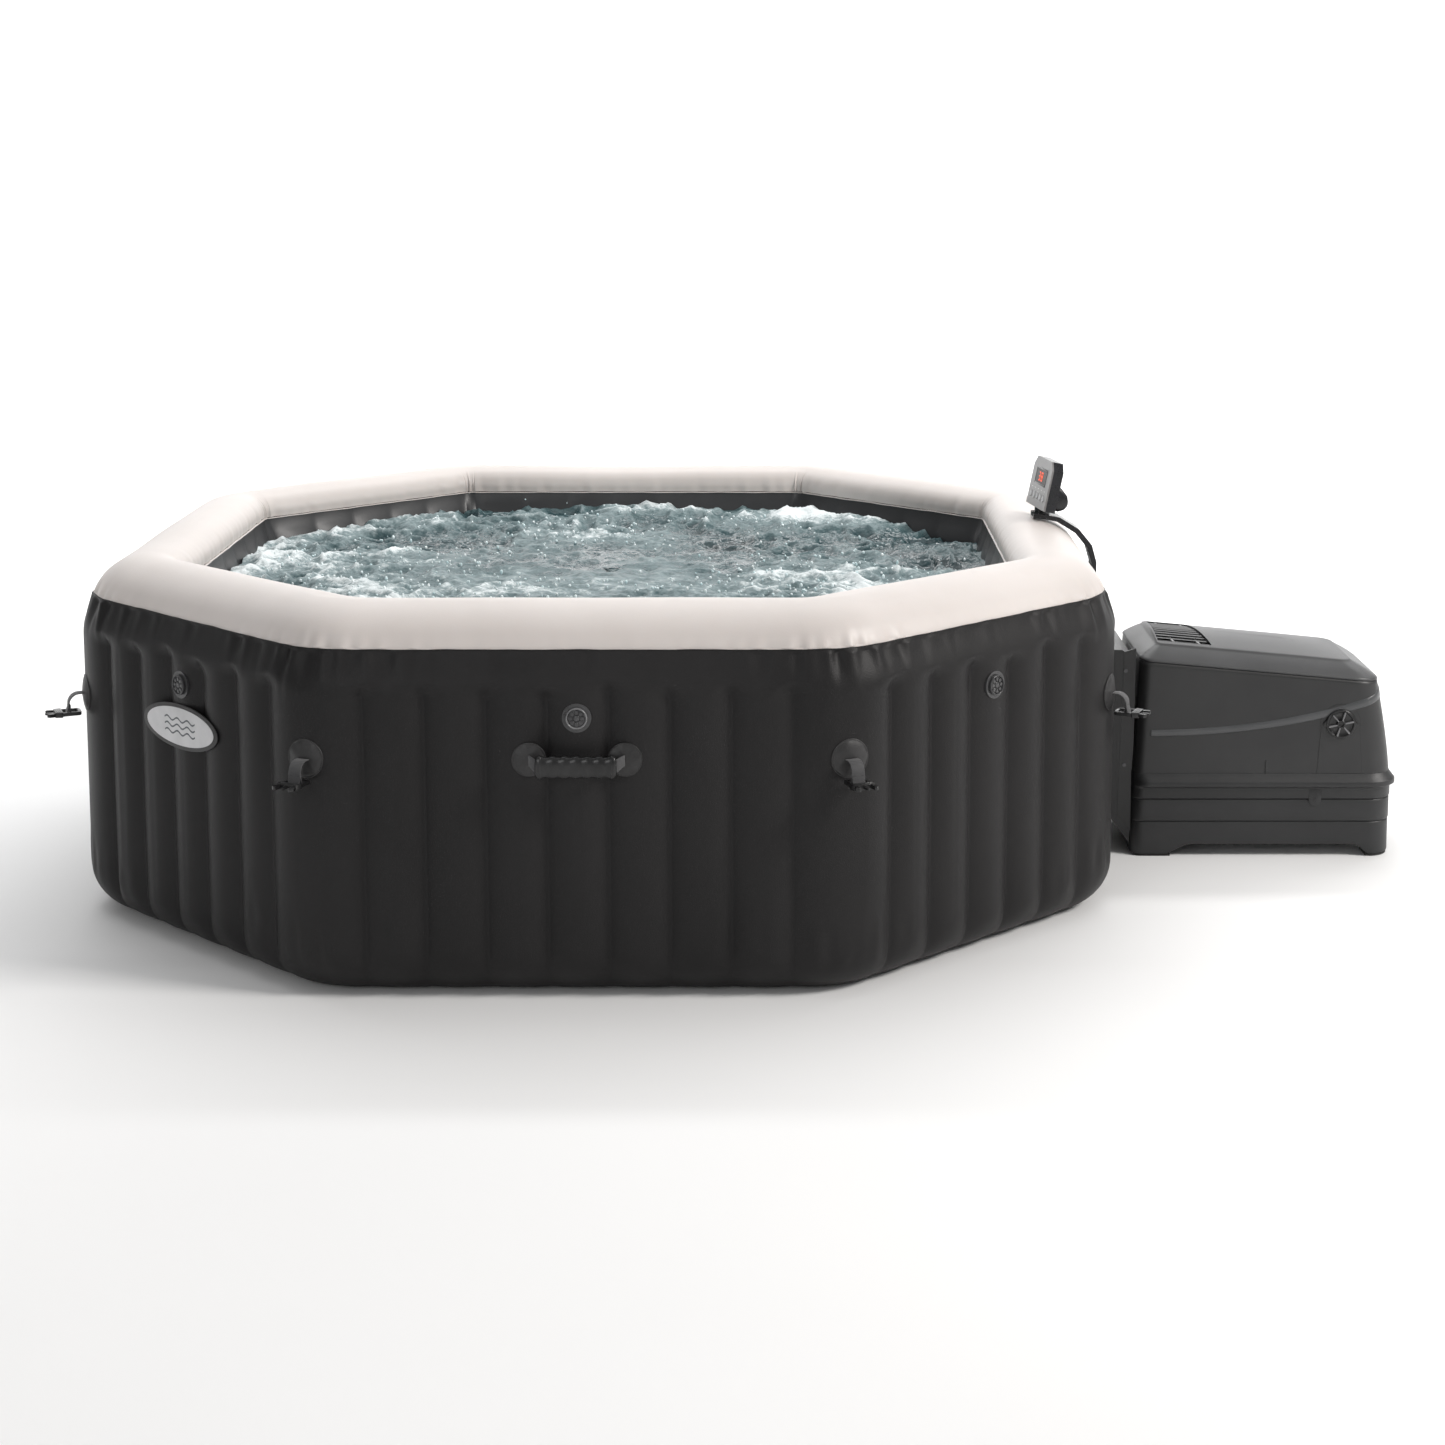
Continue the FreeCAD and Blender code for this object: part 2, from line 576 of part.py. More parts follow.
def make_filter():
    x = CAP_X
    front = PUMP_Y[0]
    knob = rod(CAP_R, (x, front - 9, CAP_Z), (x, front - 2, CAP_Z))
    for i in range(CAP_SPOKES):
        spoke = box((x + 7, x + 26), (front - 12, front - 9), (CAP_Z - 2.5, CAP_Z + 2.5))
        spoke.rotate(Vector(x, 0, CAP_Z), Vector(0, 1, 0), 360 / CAP_SPOKES * i)
        knob = knob.fuse(spoke)
    for side in (-1, 1):
        ear = box((x - 6, x + 6), (front - 9, front - 3), (CAP_Z + CAP_R - 2, CAP_Z + CAP_R + 5))
        ear.rotate(Vector(x, 0, CAP_Z), Vector(0, 1, 0), 90 * side)
        knob = knob.fuse(ear)
    knob = knob.fuse(rod(CAP_R - 9, (x, front - 2, CAP_Z), (x, front + 10, CAP_Z)))
    export(knob, "filter_cap")
    can = rod(CAN_R, (x, front + 12, CAP_Z), (x, front + CAN_LENGTH, CAP_Z))
    can = can.cut(rod(CAN_R - 3, (x, front + 15, CAP_Z), (x, front + CAN_LENGTH - 3, CAP_Z)))
    export(can.cut(rod(20, (x, front + 11, CAP_Z), (x, front + 16, CAP_Z))), "filter_canister")
    cartridge = tube(CARTRIDGE_R, 16, (x, front + 20, CAP_Z), (x, front + CAN_LENGTH - 8, CAP_Z))
    for i in range(PLEATS):
        deep = (x + CARTRIDGE_R - 4, x + CARTRIDGE_R + 2)
        pleat = box(deep, (front + 30, front + CAN_LENGTH - 18), (CAP_Z - 2, CAP_Z + 2))
        pleat.rotate(Vector(x, 0, CAP_Z), Vector(0, 1, 0), 360 / PLEATS * i)
        cartridge = cartridge.cut(pleat)
    export(cartridge, "filter_cartridge")


def make_machinery():
    y, z = INLET
    left, right = VOLUTE_X
    export(rod(MOTOR_R, (MOTOR_X[0], y, z), (MOTOR_X[1], y, z)), "pump_motor")
    volute = rod(VOLUTE_R, (left, y, z), (right, y, z))
    volute = volute.cut(rod(VOLUTE_R - 10, (left + 4, y, z), (right - 4, y, z)))
    volute = volute.cut(rod(PIPE_BORE, (left - 10, y, z), (left + 10, y, z)))
    volute = volute.cut(rod(7, (right - 10, y, z), (right + 10, y, z)))
    export(volute, "pump_volute")
    impeller = rod(IMPELLER_R, (right - 18, y, z), (right - 14, y, z))
    impeller = impeller.fuse(rod(10, (left + 16, y, z), (right - 8, y, z)))
    for i in range(IMPELLER_BLADES):
        blade = box((left + 17, right - 18), (y + 9, y + IMPELLER_R - 2), (z - 1.5, z + 1.5))
        blade.rotate(Vector(0, y, z), Vector(1, 0, 0), 360 / IMPELLER_BLADES * i)
        impeller = impeller.fuse(blade)
    export(impeller, "impeller")
    x, y = BLOWER
    low, high = BLOWER_Z
    shell = rod(BLOWER_R, (x, y, low), (x, y, high)).cut(rod(BLOWER_R - 4, (x, y, low + 4), (x, y, high - 4)))
    shell = shell.cut(rod(PIPE_BORE, (AIR_RISER_X, AIR[0], low - 5), (AIR_RISER_X, AIR[0], low + 10)))
    export(shell, "air_blower")
    disc_top = low + 46
    fan = rod(12, (x, y, low + 10), (x, y, high - 10))
    fan = fan.fuse(rod(FAN_R, (x, y, disc_top - 4), (x, y, disc_top)))
    for i in range(FAN_BLADES):
        blade = box((x + 20, x + FAN_R - 2), (y - 1.5, y + 1.5), (disc_top, high - 18))
        blade.rotate(Vector(x, y, 0), Vector(0, 0, 1), 360 / FAN_BLADES * i)
        fan = fan.fuse(blade)
    export(fan, "blower_fan")
    export(tube(HEATER_R, PIPE_R + 0.5, (HEATER_X[0], *OUTLET), (HEATER_X[1], *OUTLET)), "heater_tube")
    export(box((1400, 1560), (150, 153), (190, 300)), "circuit_board")


# ---------------------------------------------------------------- the control panel

def on_panel(shape):
    """A shape made upright with its front face at x = 0, leaned and turned to its place on the rim."""
    shape = shape.copy()
    shape.rotate(Vector(0, 0, 0), Vector(0, 1, 0), PANEL_LEAN)
    shape.rotate(Vector(0, 0, 0), Vector(0, 0, 1), PANEL_SWIVEL)
    shape.translate(Vector(*PANEL_AT))
    return shape


def panel_block(depth, shrink=0.0):
    """The panel's outline, with cut top corners, between two depths."""
    half = PANEL_SIZE[1] / 2 - shrink
    top = PANEL_SIZE[2] - shrink
    low = shrink
    cut = PANEL_CUT
    points = [(-half, low), (half, low), (half, top - cut), (half - cut, top), (cut - half, top),
              (-half, top - cut)]
    outline = [Vector(depth[0], y, z) for y, z in points]
    return Part.Face(Part.makePolygon(outline + outline[:1])).extrude(Vector(depth[1] - depth[0], 0, 0))


def key_places():
    first = -KEY_STEP * (KEY_COUNT - 1) / 2
    return [first + KEY_STEP * i for i in range(KEY_COUNT)]


def make_panel():
    deep = PANEL_SIZE[0]
    housing = panel_block((4, deep)).cut(panel_block((3, deep - 3), 3))
    export(on_panel(housing), "panel_housing")
    bezel = panel_block((0, 4 - GAP)).cut(box((-1, 5), *WINDOW))
    for y in key_places():
        bezel = bezel.cut(rod(KEY_R + 0.4, (-1, y, KEY_Z), (5, y, KEY_Z)))
    export(on_panel(bezel), "panel_bezel")
    across, up = [(low + GAP, high - GAP) for low, high in WINDOW]
    pane = box((-0.5, 3), across, up)
    export(on_panel(pane), "display_window")
    export(on_panel(panel_block((11, 13), 6)), "panel_board")
    for i, y in enumerate(key_places()):
        key = rod(KEY_R, (-1.2, y, KEY_Z), (6, y, KEY_Z)).fuse(rod(2.5, (6, y, KEY_Z), (9, y, KEY_Z)))
        export(on_panel(key), "key_%d" % (i + 1))


def make_bracket():
    """The curved arm over the tub's rim, with the seat that the panel turns on."""
    middle = PANEL_AT[1]
    inside = [(HALF + 2, COWL_TOP + 1), (HALF + 2, 596), (HALF - 8, 630), (HALF - 34, 662), (HALF - 72, 686),
              (HALF - 108, 693), (HALF - 122, 693)]
    outside = [(HALF - 122, 702), (HALF - 106, 702), (HALF - 66, 695), (HALF - 26, 670), (HALF + 2, 636),
               (HALF + 12, 600), (HALF + 12, COWL_TOP + 1)]
    outline = [Vector(x, middle - ARM_HALF, z) for x, z in inside + outside]
    arm = Part.Face(Part.makePolygon(outline + outline[:1])).extrude(Vector(0, 2 * ARM_HALF, 0))
    pivot_x = PANEL_AT[0] + POST_R
    seat = rod(SEAT_R, (pivot_x, middle, SEAT_TOP - 8), (pivot_x, middle, SEAT_TOP))
    export(arm.fuse(seat), "panel_bracket")
    post = rod(POST_R, (pivot_x, middle, SEAT_TOP + GAP), (pivot_x, middle, POST_TOP))
    export(post.cut(on_panel(box((-60, 60), (-90, 90), (0, 200)))), "panel_post")


def main():
    os.makedirs("parts", exist_ok=True)
    make_wall()
    make_floor()
    make_valves()
    make_straps()
    make_handles()
    make_badge()
    make_plumbing()
    make_tray()
    make_covers()
    make_trim()
    make_cowl()
    make_filter()
    make_machinery()
    make_panel()
    make_bracket()


main()
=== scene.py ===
"""Looks for the inflatable hot tub: skins, water, webbing, clips, pump covers and panel over the CAD."""
import json
import math

import bpy
import bmesh
import numpy as np
from mathutils import Matrix, Vector


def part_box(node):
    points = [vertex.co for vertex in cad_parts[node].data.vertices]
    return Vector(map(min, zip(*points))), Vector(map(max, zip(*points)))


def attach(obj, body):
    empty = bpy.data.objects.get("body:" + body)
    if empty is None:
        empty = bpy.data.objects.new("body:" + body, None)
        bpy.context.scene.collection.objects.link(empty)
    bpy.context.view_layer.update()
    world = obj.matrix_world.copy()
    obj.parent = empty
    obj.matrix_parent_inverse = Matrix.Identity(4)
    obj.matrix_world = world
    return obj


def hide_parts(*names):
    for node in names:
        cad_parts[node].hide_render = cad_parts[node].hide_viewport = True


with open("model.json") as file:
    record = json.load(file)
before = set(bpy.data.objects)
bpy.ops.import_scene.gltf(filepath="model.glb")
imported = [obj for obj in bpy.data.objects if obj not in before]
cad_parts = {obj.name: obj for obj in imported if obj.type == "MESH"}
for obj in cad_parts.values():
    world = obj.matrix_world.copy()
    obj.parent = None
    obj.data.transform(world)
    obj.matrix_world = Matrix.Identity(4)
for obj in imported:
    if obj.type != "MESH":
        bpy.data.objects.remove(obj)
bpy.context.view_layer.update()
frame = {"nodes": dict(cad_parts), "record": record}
NODES = frame["nodes"]
TUB = "tub"

# The tub, worked out from the frame
WALL_LOW, WALL_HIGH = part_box("outer_wall")
ROLL_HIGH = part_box("top_roll")[1]
HALF = WALL_HIGH.x
HEIGHT = ROLL_HIGH.z
SEAM_Z = WALL_HIGH.z
LONG_BEAMS = 9
SHORT_BEAMS = 7
BEAM = 2 * HALF / (LONG_BEAMS + SHORT_BEAMS * math.sqrt(2))
HALF_LONG = LONG_BEAMS * BEAM / 2
HALF_SHORT = SHORT_BEAMS * BEAM / 2
SHORT_OUT = (HALF + HALF_LONG) / math.sqrt(2)
TAN = math.tan(math.radians(22.5))
CORNER_ROUND = 0.230
FOOT_ROUND = 0.090
LINER_INSET = 0.2165
WATER_Z = 0.585
SEED = 7
WALL_COLUMNS = 1792
ROLL_COLUMNS = 1536
FINE_COLUMNS = 1024
DROPS = 1500

# Turns local X, Y, Z to across, up, out of a face that looks along the placed X axis
UPRIGHT = Matrix(((0, 0, 1, 0), (1, 0, 0, 0), (0, 1, 0, 0), (0, 0, 0, 1)))
# Turns a lathe's X axis to Z
LATHE_TO_Z = Matrix(((0, 1, 0, 0), (0, 0, 1, 0), (1, 0, 0, 0), (0, 0, 0, 1)))


# ---------------------------------------------------------------- materials

def new_material(name):
    mat = bpy.data.materials.new(name)
    mat.use_nodes = True
    nodes = mat.node_tree.nodes
    shader = nodes["Principled BSDF"]
    return mat, nodes, mat.node_tree.links, shader


def noise_node(nodes, links, scale, detail=3.0, roughness=0.5, stretch=(1, 1, 1)):
    coords = nodes.new("ShaderNodeTexCoord")
    mapping = nodes.new("ShaderNodeMapping")
    mapping.inputs["Scale"].default_value = stretch
    noise = nodes.new("ShaderNodeTexNoise")
    noise.inputs["Scale"].default_value = scale
    noise.inputs["Detail"].default_value = detail
    noise.inputs["Roughness"].default_value = roughness
    links.new(coords.outputs["Object"], mapping.inputs["Vector"])
    links.new(mapping.outputs["Vector"], noise.inputs["Vector"])
    return noise


def ramp_node(nodes, links, source, low, high, at=(0.35, 0.65)):
    ramp = nodes.new("ShaderNodeValToRGB")
    ramp.color_ramp.elements[0].position = at[0]
    ramp.color_ramp.elements[1].position = at[1]
    ramp.color_ramp.elements[0].color = (*low, 1)
    ramp.color_ramp.elements[1].color = (*high, 1)
    links.new(source, ramp.inputs["Fac"])
    return ramp


def bump_node(nodes, links, source, strength, distance):
    bump = nodes.new("ShaderNodeBump")
    bump.inputs["Strength"].default_value = strength
    bump.inputs["Distance"].default_value = distance
    links.new(source, bump.inputs["Height"])
    return bump


def weighted_sum(nodes, links, first, weight, second):
    """A node that adds weight times the first socket to the second."""
    total = nodes.new("ShaderNodeMath")
    total.operation = "MULTIPLY_ADD"
    total.inputs[1].default_value = weight
    links.new(first, total.inputs[0])
    links.new(second, total.inputs[2])
    return total


def cloudy_skin(name, low, high, gloss_range, clouds):
    """A material whose colour and gloss drift with one noise; clouds are that noise's settings."""
    mat, nodes, links, shader = new_material(name)
    noise = noise_node(nodes, links, *clouds)
    ramp = ramp_node(nodes, links, noise.outputs["Fac"], low, high)
    links.new(ramp.outputs["Color"], shader.inputs["Base Color"])
    gloss = nodes.new("ShaderNodeMapRange")
    gloss.inputs["To Min"].default_value = gloss_range[0]
    gloss.inputs["To Max"].default_value = gloss_range[1]
    links.new(noise.outputs["Fac"], gloss.inputs["Value"])
    links.new(gloss.outputs["Result"], shader.inputs["Roughness"])
    return mat, nodes, links, shader


def mottled(name, low, high, roughness, grain_scale, grain_depth, cloud_scale=6.0, swing=0.06):
    """A moulded or sheet plastic: soft colour clouds, a fine grain in the bump, a little gloss change."""
    gloss_range = (roughness - swing, roughness + swing)
    mat, nodes, links, shader = cloudy_skin(name, low, high, gloss_range, (cloud_scale, 4.0, 0.55))
    grain = noise_node(nodes, links, grain_scale, 2.0, 0.6)
    bump = bump_node(nodes, links, grain.outputs["Fac"], 0.5, grain_depth)
    links.new(bump.outputs["Normal"], shader.inputs["Normal"])
    return mat


def wall_vinyl():
    """Charcoal laminated vinyl: a fine leathery grain under dusty lighter clouds."""
    mat, nodes, links, shader = cloudy_skin(
        "wall_vinyl", (0.0085, 0.0080, 0.0083), (0.0150, 0.0142, 0.0146), (0.42, 0.60),
        (3.0, 6.0, 0.6, (1, 1, 0.45)))
    coords = nodes.new("ShaderNodeTexCoord")
    cells = nodes.new("ShaderNodeTexVoronoi")
    cells.inputs["Scale"].default_value = 420
    links.new(coords.outputs["Object"], cells.inputs["Vector"])
    fine = noise_node(nodes, links, 900, 2.0, 0.6)
    both = weighted_sum(nodes, links, fine.outputs["Fac"], 0.5, cells.outputs["Distance"])
    bump = bump_node(nodes, links, both.outputs["Value"], 0.35, 0.0006)
    links.new(bump.outputs["Normal"], shader.inputs["Normal"])
    shader.inputs["Specular IOR Level"].default_value = 0.26
    return mat


def roll_vinyl():
    """Warm pale vinyl with a soft satin skin and faint clouds."""
    mat, nodes, links, shader = cloudy_skin(
        "roll_vinyl", (0.565, 0.520, 0.495), (0.625, 0.580, 0.555), (0.40, 0.52), (2.2, 5.0, 0.6))
    grain = noise_node(nodes, links, 260, 3.0, 0.6)
    bump = bump_node(nodes, links, grain.outputs["Fac"], 0.18, 0.0008)
    links.new(bump.outputs["Normal"], shader.inputs["Normal"])
    shader.inputs["Subsurface Weight"].default_value = 0.05
    shader.inputs["Subsurface Radius"].default_value = (0.01, 0.006, 0.004)
    return mat


def weave_material(name, low, high):
    """Woven webbing: crossed ribs at thread scale."""
    mat, nodes, links, shader = new_material(name)
    coords = nodes.new("ShaderNodeTexCoord")
    ribs = []
    for direction in ("X", "Z"):
        wave = nodes.new("ShaderNodeTexWave")
        wave.bands_direction = direction
        wave.inputs["Scale"].default_value = 180
        wave.inputs["Distortion"].default_value = 0.6
        links.new(coords.outputs["Object"], wave.inputs["Vector"])
        ribs.append(wave)
    mix = nodes.new("ShaderNodeMath")
    mix.operation = "MAXIMUM"
    links.new(ribs[0].outputs["Fac"], mix.inputs[0])
    links.new(ribs[1].outputs["Fac"], mix.inputs[1])
    ramp = ramp_node(nodes, links, mix.outputs["Value"], low, high, (0.2, 0.9))
    links.new(ramp.outputs["Color"], shader.inputs["Base Color"])
    bump = bump_node(nodes, links, mix.outputs["Value"], 0.6, 0.0006)
    links.new(bump.outputs["Normal"], shader.inputs["Normal"])
    shader.inputs["Roughness"].default_value = 0.75
    shader.inputs["Sheen Weight"].default_value = 0.25
    return mat


def water_material():
    """Aerated water: clear teal in the hollows, white froth on the crests and in drifting patches."""
    mat, nodes, links, shader = new_material("bubbling_water")
    attribute = nodes.new("ShaderNodeAttribute")
    attribute.attribute_name = "froth"
    patches = noise_node(nodes, links, 7.0, 9.0, 0.78, (1, 1.6, 1))
    fine = noise_node(nodes, links, 55.0, 6.0, 0.75)
    mixed = weighted_sum(nodes, links, fine.outputs["Fac"], 0.55, attribute.outputs["Fac"])
    total = weighted_sum(nodes, links, patches.outputs["Fac"], 0.55, mixed.outputs["Value"])
    spread = nodes.new("ShaderNodeMapRange")
    spread.inputs["From Min"].default_value = 0.52
    spread.inputs["From Max"].default_value = 1.18
    links.new(total.outputs["Value"], spread.inputs["Value"])
    ramp = nodes.new("ShaderNodeValToRGB")
    stops = ((0.0, (0.009, 0.020, 0.024)), (0.30, (0.024, 0.054, 0.062)), (0.53, (0.066, 0.115, 0.124)),
             (0.70, (0.19, 0.25, 0.26)), (0.88, (0.68, 0.73, 0.74)))
    for index, (position, colour) in enumerate(stops):
        if index < 2:
            stop = ramp.color_ramp.elements[index]
            stop.position = position
        else:
            stop = ramp.color_ramp.elements.new(position)
        stop.color = (*colour, 1)
    links.new(spread.outputs["Result"], ramp.inputs["Fac"])
    links.new(ramp.outputs["Color"], shader.inputs["Base Color"])
    gloss = nodes.new("ShaderNodeMapRange")
    gloss.inputs["From Min"].default_value = 0.7
    gloss.inputs["From Max"].default_value = 1.0
    gloss.inputs["To Min"].default_value = 0.10
    gloss.inputs["To Max"].default_value = 0.62
    links.new(total.outputs["Value"], gloss.inputs["Value"])
    links.new(gloss.outputs["Result"], shader.inputs["Roughness"])
    bubbles = nodes.new("ShaderNodeTexVoronoi")
    bubbles.inputs["Scale"].default_value = 130
    coords = nodes.new("ShaderNodeTexCoord")
    links.new(coords.outputs["Object"], bubbles.inputs["Vector"])
    bump = bump_node(nodes, links, bubbles.outputs["Distance"], 0.35, 0.003)
    links.new(bump.outputs["Normal"], shader.inputs["Normal"])
    shader.inputs["IOR"].default_value = 1.33
    shader.inputs["Specular IOR Level"].default_value = 0.7
    return mat


def emissive(name, colour, strength):
    mat, nodes, links, shader = new_material(name)
    glow = noise_node(nodes, links, 400.0, 2.0)
    ramp = ramp_node(nodes, links, glow.outputs["Fac"], tuple(0.8 * c for c in colour), colour)
    links.new(ramp.outputs["Color"], shader.inputs["Emission Color"])
    links.new(ramp.outputs["Color"], shader.inputs["Base Color"])
    shader.inputs["Emission Strength"].default_value = strength
    return mat


def steel_material():
    """Brushed steel for the heater tube."""
    mat, nodes, links, shader = new_material("brushed_steel")
    lines = noise_node(nodes, links, 200, 3.0, 0.6, (1, 1, 12))
    ramp = ramp_node(nodes, links, lines.outputs["Fac"], (0.42, 0.42, 0.43), (0.56, 0.56, 0.57))
    links.new(ramp.outputs["Color"], shader.inputs["Base Color"])
    shader.inputs["Metallic"].default_value = 1.0
    shader.inputs["Roughness"].default_value = 0.34
    return mat


def froth_material():
    """Small bright drops, a little tinted."""
    mat, nodes, links, shader = new_material("froth_drops")
    tint = noise_node(nodes, links, 30.0, 2.0)
    ramp = ramp_node(nodes, links, tint.outputs["Fac"], (0.55, 0.70, 0.73), (0.88, 0.93, 0.94))
    links.new(ramp.outputs["Color"], shader.inputs["Base Color"])
    shader.inputs["Roughness"].default_value = 0.12
    return mat


# Each plastic's name, darker and lighter colour, roughness, grain scale and depth, cloud scale, gloss swing
PLASTICS = {
    "liner": ("liner_vinyl", (0.020, 0.021, 0.023), (0.034, 0.035, 0.037), 0.38, 300, 0.0004, 3.0, 0.1),
    "patch": ("patch_vinyl", (0.015, 0.0146, 0.015), (0.026, 0.0252, 0.026), 0.46, 700, 0.0004, 12.0),
    "black": ("black_plastic", (0.006, 0.006, 0.0065), (0.013, 0.013, 0.0135), 0.30, 500, 0.0002, 20.0),
    "valve": ("valve_plastic", (0.035, 0.035, 0.037), (0.060, 0.060, 0.062), 0.30, 500, 0.0002, 20.0),
    "badge_face": ("badge_face", (0.50, 0.50, 0.51), (0.58, 0.58, 0.59), 0.35, 300, 0.0002, 20.0),
    "badge_mark": ("badge_mark", (0.05, 0.06, 0.07), (0.08, 0.09, 0.10), 0.40, 300, 0.0002, 20.0),
    "pump": ("pump_plastic", (0.017, 0.0172, 0.0180), (0.025, 0.0253, 0.0260), 0.42, 1100, 0.0004, 5.0, 0.05),
    # Lighter copies of the pump plastic with painted light: the lid's top and its chamfered band face up and are
    # painted lighter as if lit from above.
    "painted_light_pump_top": ("pump_plastic_painted_top_light", (0.062, 0.063, 0.065), (0.080, 0.081, 0.083), 0.45, 1100, 0.0004, 5.0,
                 0.05),
    "painted_light_pump_band": ("pump_plastic_painted_band_light", (0.048, 0.049, 0.051), (0.060, 0.061, 0.063), 0.40, 1100, 0.0004, 5.0,
                  0.05),
    "pump_low": ("pump_low_plastic", (0.015, 0.0155, 0.0165), (0.022, 0.0225, 0.0235), 0.45, 1100, 0.0004,
                 5.0, 0.05),
    "cap_spoke": ("cap_spoke", (0.13, 0.13, 0.135), (0.18, 0.18, 0.185), 0.22, 500, 0.0002, 20.0),
    "trim_bright": ("valve_rim", (0.12, 0.12, 0.125), (0.20, 0.20, 0.205), 0.25, 500, 0.0002, 20.0),
    "trim": ("trim_plastic", (0.060, 0.062, 0.065), (0.078, 0.080, 0.083), 0.32, 800, 0.0002, 8.0),
    "pipe": ("pipe_plastic", (0.10, 0.105, 0.11), (0.14, 0.145, 0.15), 0.40, 500, 0.0002, 10.0),
    "rubber": ("foot_rubber", (0.010, 0.010, 0.010), (0.018, 0.018, 0.018), 0.75, 400, 0.0004, 10.0),
    "paper": ("filter_paper", (0.70, 0.72, 0.74), (0.80, 0.82, 0.84), 0.85, 300, 0.0006, 10.0),
    "can": ("motor_can", (0.05, 0.05, 0.055), (0.08, 0.08, 0.085), 0.35, 300, 0.0002, 10.0),
    "board": ("circuit_board", (0.01, 0.09, 0.03), (0.02, 0.13, 0.05), 0.35, 300, 0.0002, 30.0),
    "panel_black": ("panel_black", (0.0075, 0.008, 0.010), (0.012, 0.0125, 0.016), 0.28, 500, 0.0002, 20.0),
    "panel_grey": ("panel_grey", (0.17, 0.165, 0.165), (0.22, 0.215, 0.215), 0.35, 500, 0.0002, 20.0),
    "glass": ("display_glass", (0.006, 0.004, 0.004), (0.010, 0.006, 0.006), 0.45, 100, 0.0, 20.0, 0.02),
    "key": ("key_plastic", (0.42, 0.42, 0.43), (0.50, 0.50, 0.51), 0.45, 500, 0.0002, 40.0),
    "ink": ("icon_ink", (0.75, 0.75, 0.75), (0.85, 0.85, 0.85), 0.5, 300, 0.0, 40.0),
}


def make_materials():
    materials = {key: mottled(*settings) for key, settings in PLASTICS.items()}
    materials["wall"] = wall_vinyl()
    materials["roll"] = roll_vinyl()
    materials["webbing"] = weave_material("webbing", (0.020, 0.020, 0.0215), (0.070, 0.070, 0.073))
    materials["digits"] = emissive("lit_digits", (0.95, 0.12, 0.04), 0.9)
    materials["steel"] = steel_material()
    materials["water"] = water_material()
    materials["froth"] = froth_material()
    return materials


MATS = make_materials()


# ---------------------------------------------------------------- mesh helpers

def place_mesh(name, mesh, materials, body, replaced, smooth):
    """Puts a mesh in the scene with its finish, the body it rides on and the nodes it replaces."""
    for mat in materials:
        mesh.materials.append(MATS[mat])
    if smooth:
        mesh.polygons.foreach_set("use_smooth", [True] * len(mesh.polygons))
    obj = bpy.data.objects.new(name, mesh)
    bpy.context.scene.collection.objects.link(obj)
    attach(obj, body)
    if replaced:
        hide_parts(*replaced)
    return obj


def add_object(name, verts, faces, materials, replaced=()):
    """A smooth skin on the tub from points and faces."""
    mesh = bpy.data.meshes.new(name)
    mesh.from_pydata([tuple(v) for v in verts], [], [tuple(f) for f in faces])
    mesh.update()
    return place_mesh(name, mesh, materials, TUB, replaced, True)


def grid_faces(columns, rows, closed=True, offset=0):
    """Quads of a grid laid row by row; closed joins the last column to the first."""
    faces = []
    for row in range(rows - 1):
        low = offset + row * columns
        for column in range(columns if closed else columns - 1):
            following = (column + 1) % columns
            faces.append((low + column, low + following, low + columns + following, low + columns + column))
    return faces


def disc_faces(columns, rings):
    """A fan round point 0 and then rings of quads."""
    fan = [(0, 1 + i, 1 + (i + 1) % columns) for i in range(columns)]
    return fan + grid_faces(columns, rings, offset=1)


def tube_faces(columns, rows):
    """A grid closed round, with a face over each end."""
    last = columns * rows - 1
    return grid_faces(columns, rows) + [tuple(range(columns)), tuple(last - i for i in range(columns))]


def rows_object(name, rows, materials, replaced=()):
    """A skin over closed rows of points."""
    faces = grid_faces(len(rows[0]), len(rows))
    return add_object(name, np.concatenate(rows), faces, materials, replaced)


def add_bevel(obj, width):
    bevel = obj.modifiers.new("round_edges", "BEVEL")
    bevel.width = width
    bevel.segments = 3
    bevel.limit_method = "ANGLE"
    bevel.angle_limit = math.radians(35)


def bmesh_object(name, bm, materials, body, replaced=(), bevel=0.0, smooth=True):
    """A piece from a finished bmesh, its edges rounded when bevel is given."""
    mesh = bpy.data.meshes.new(name)
    bmesh.ops.recalc_face_normals(bm, faces=bm.faces)
    bm.to_mesh(mesh)
    bm.free()
    obj = place_mesh(name, mesh, materials, body, replaced, smooth)
    if bevel:
        add_bevel(obj, bevel)


def waves(s, seed, wavelengths, weights):
    """A repeatable wavy line along the perimeter: sines of whole turns with random phases."""
    rng = np.random.default_rng(seed)
    total = np.zeros_like(s)
    for wavelength, weight in zip(wavelengths, weights):
        turns = max(1, round(PERIMETER / wavelength))
        total += weight * np.sin(2 * math.pi * turns * s / PERIMETER + rng.uniform(0, 2 * math.pi))
    return total


def smoothstep(low, high, x):
    t = np.clip((x - low) / (high - low), 0, 1)
    return t * t * (3 - 2 * t)


# ---------------------------------------------------------------- the octagon

SIDE_HALVES = [HALF_LONG, HALF_SHORT]
PERIMETER = 8 * (HALF_LONG + HALF_SHORT)


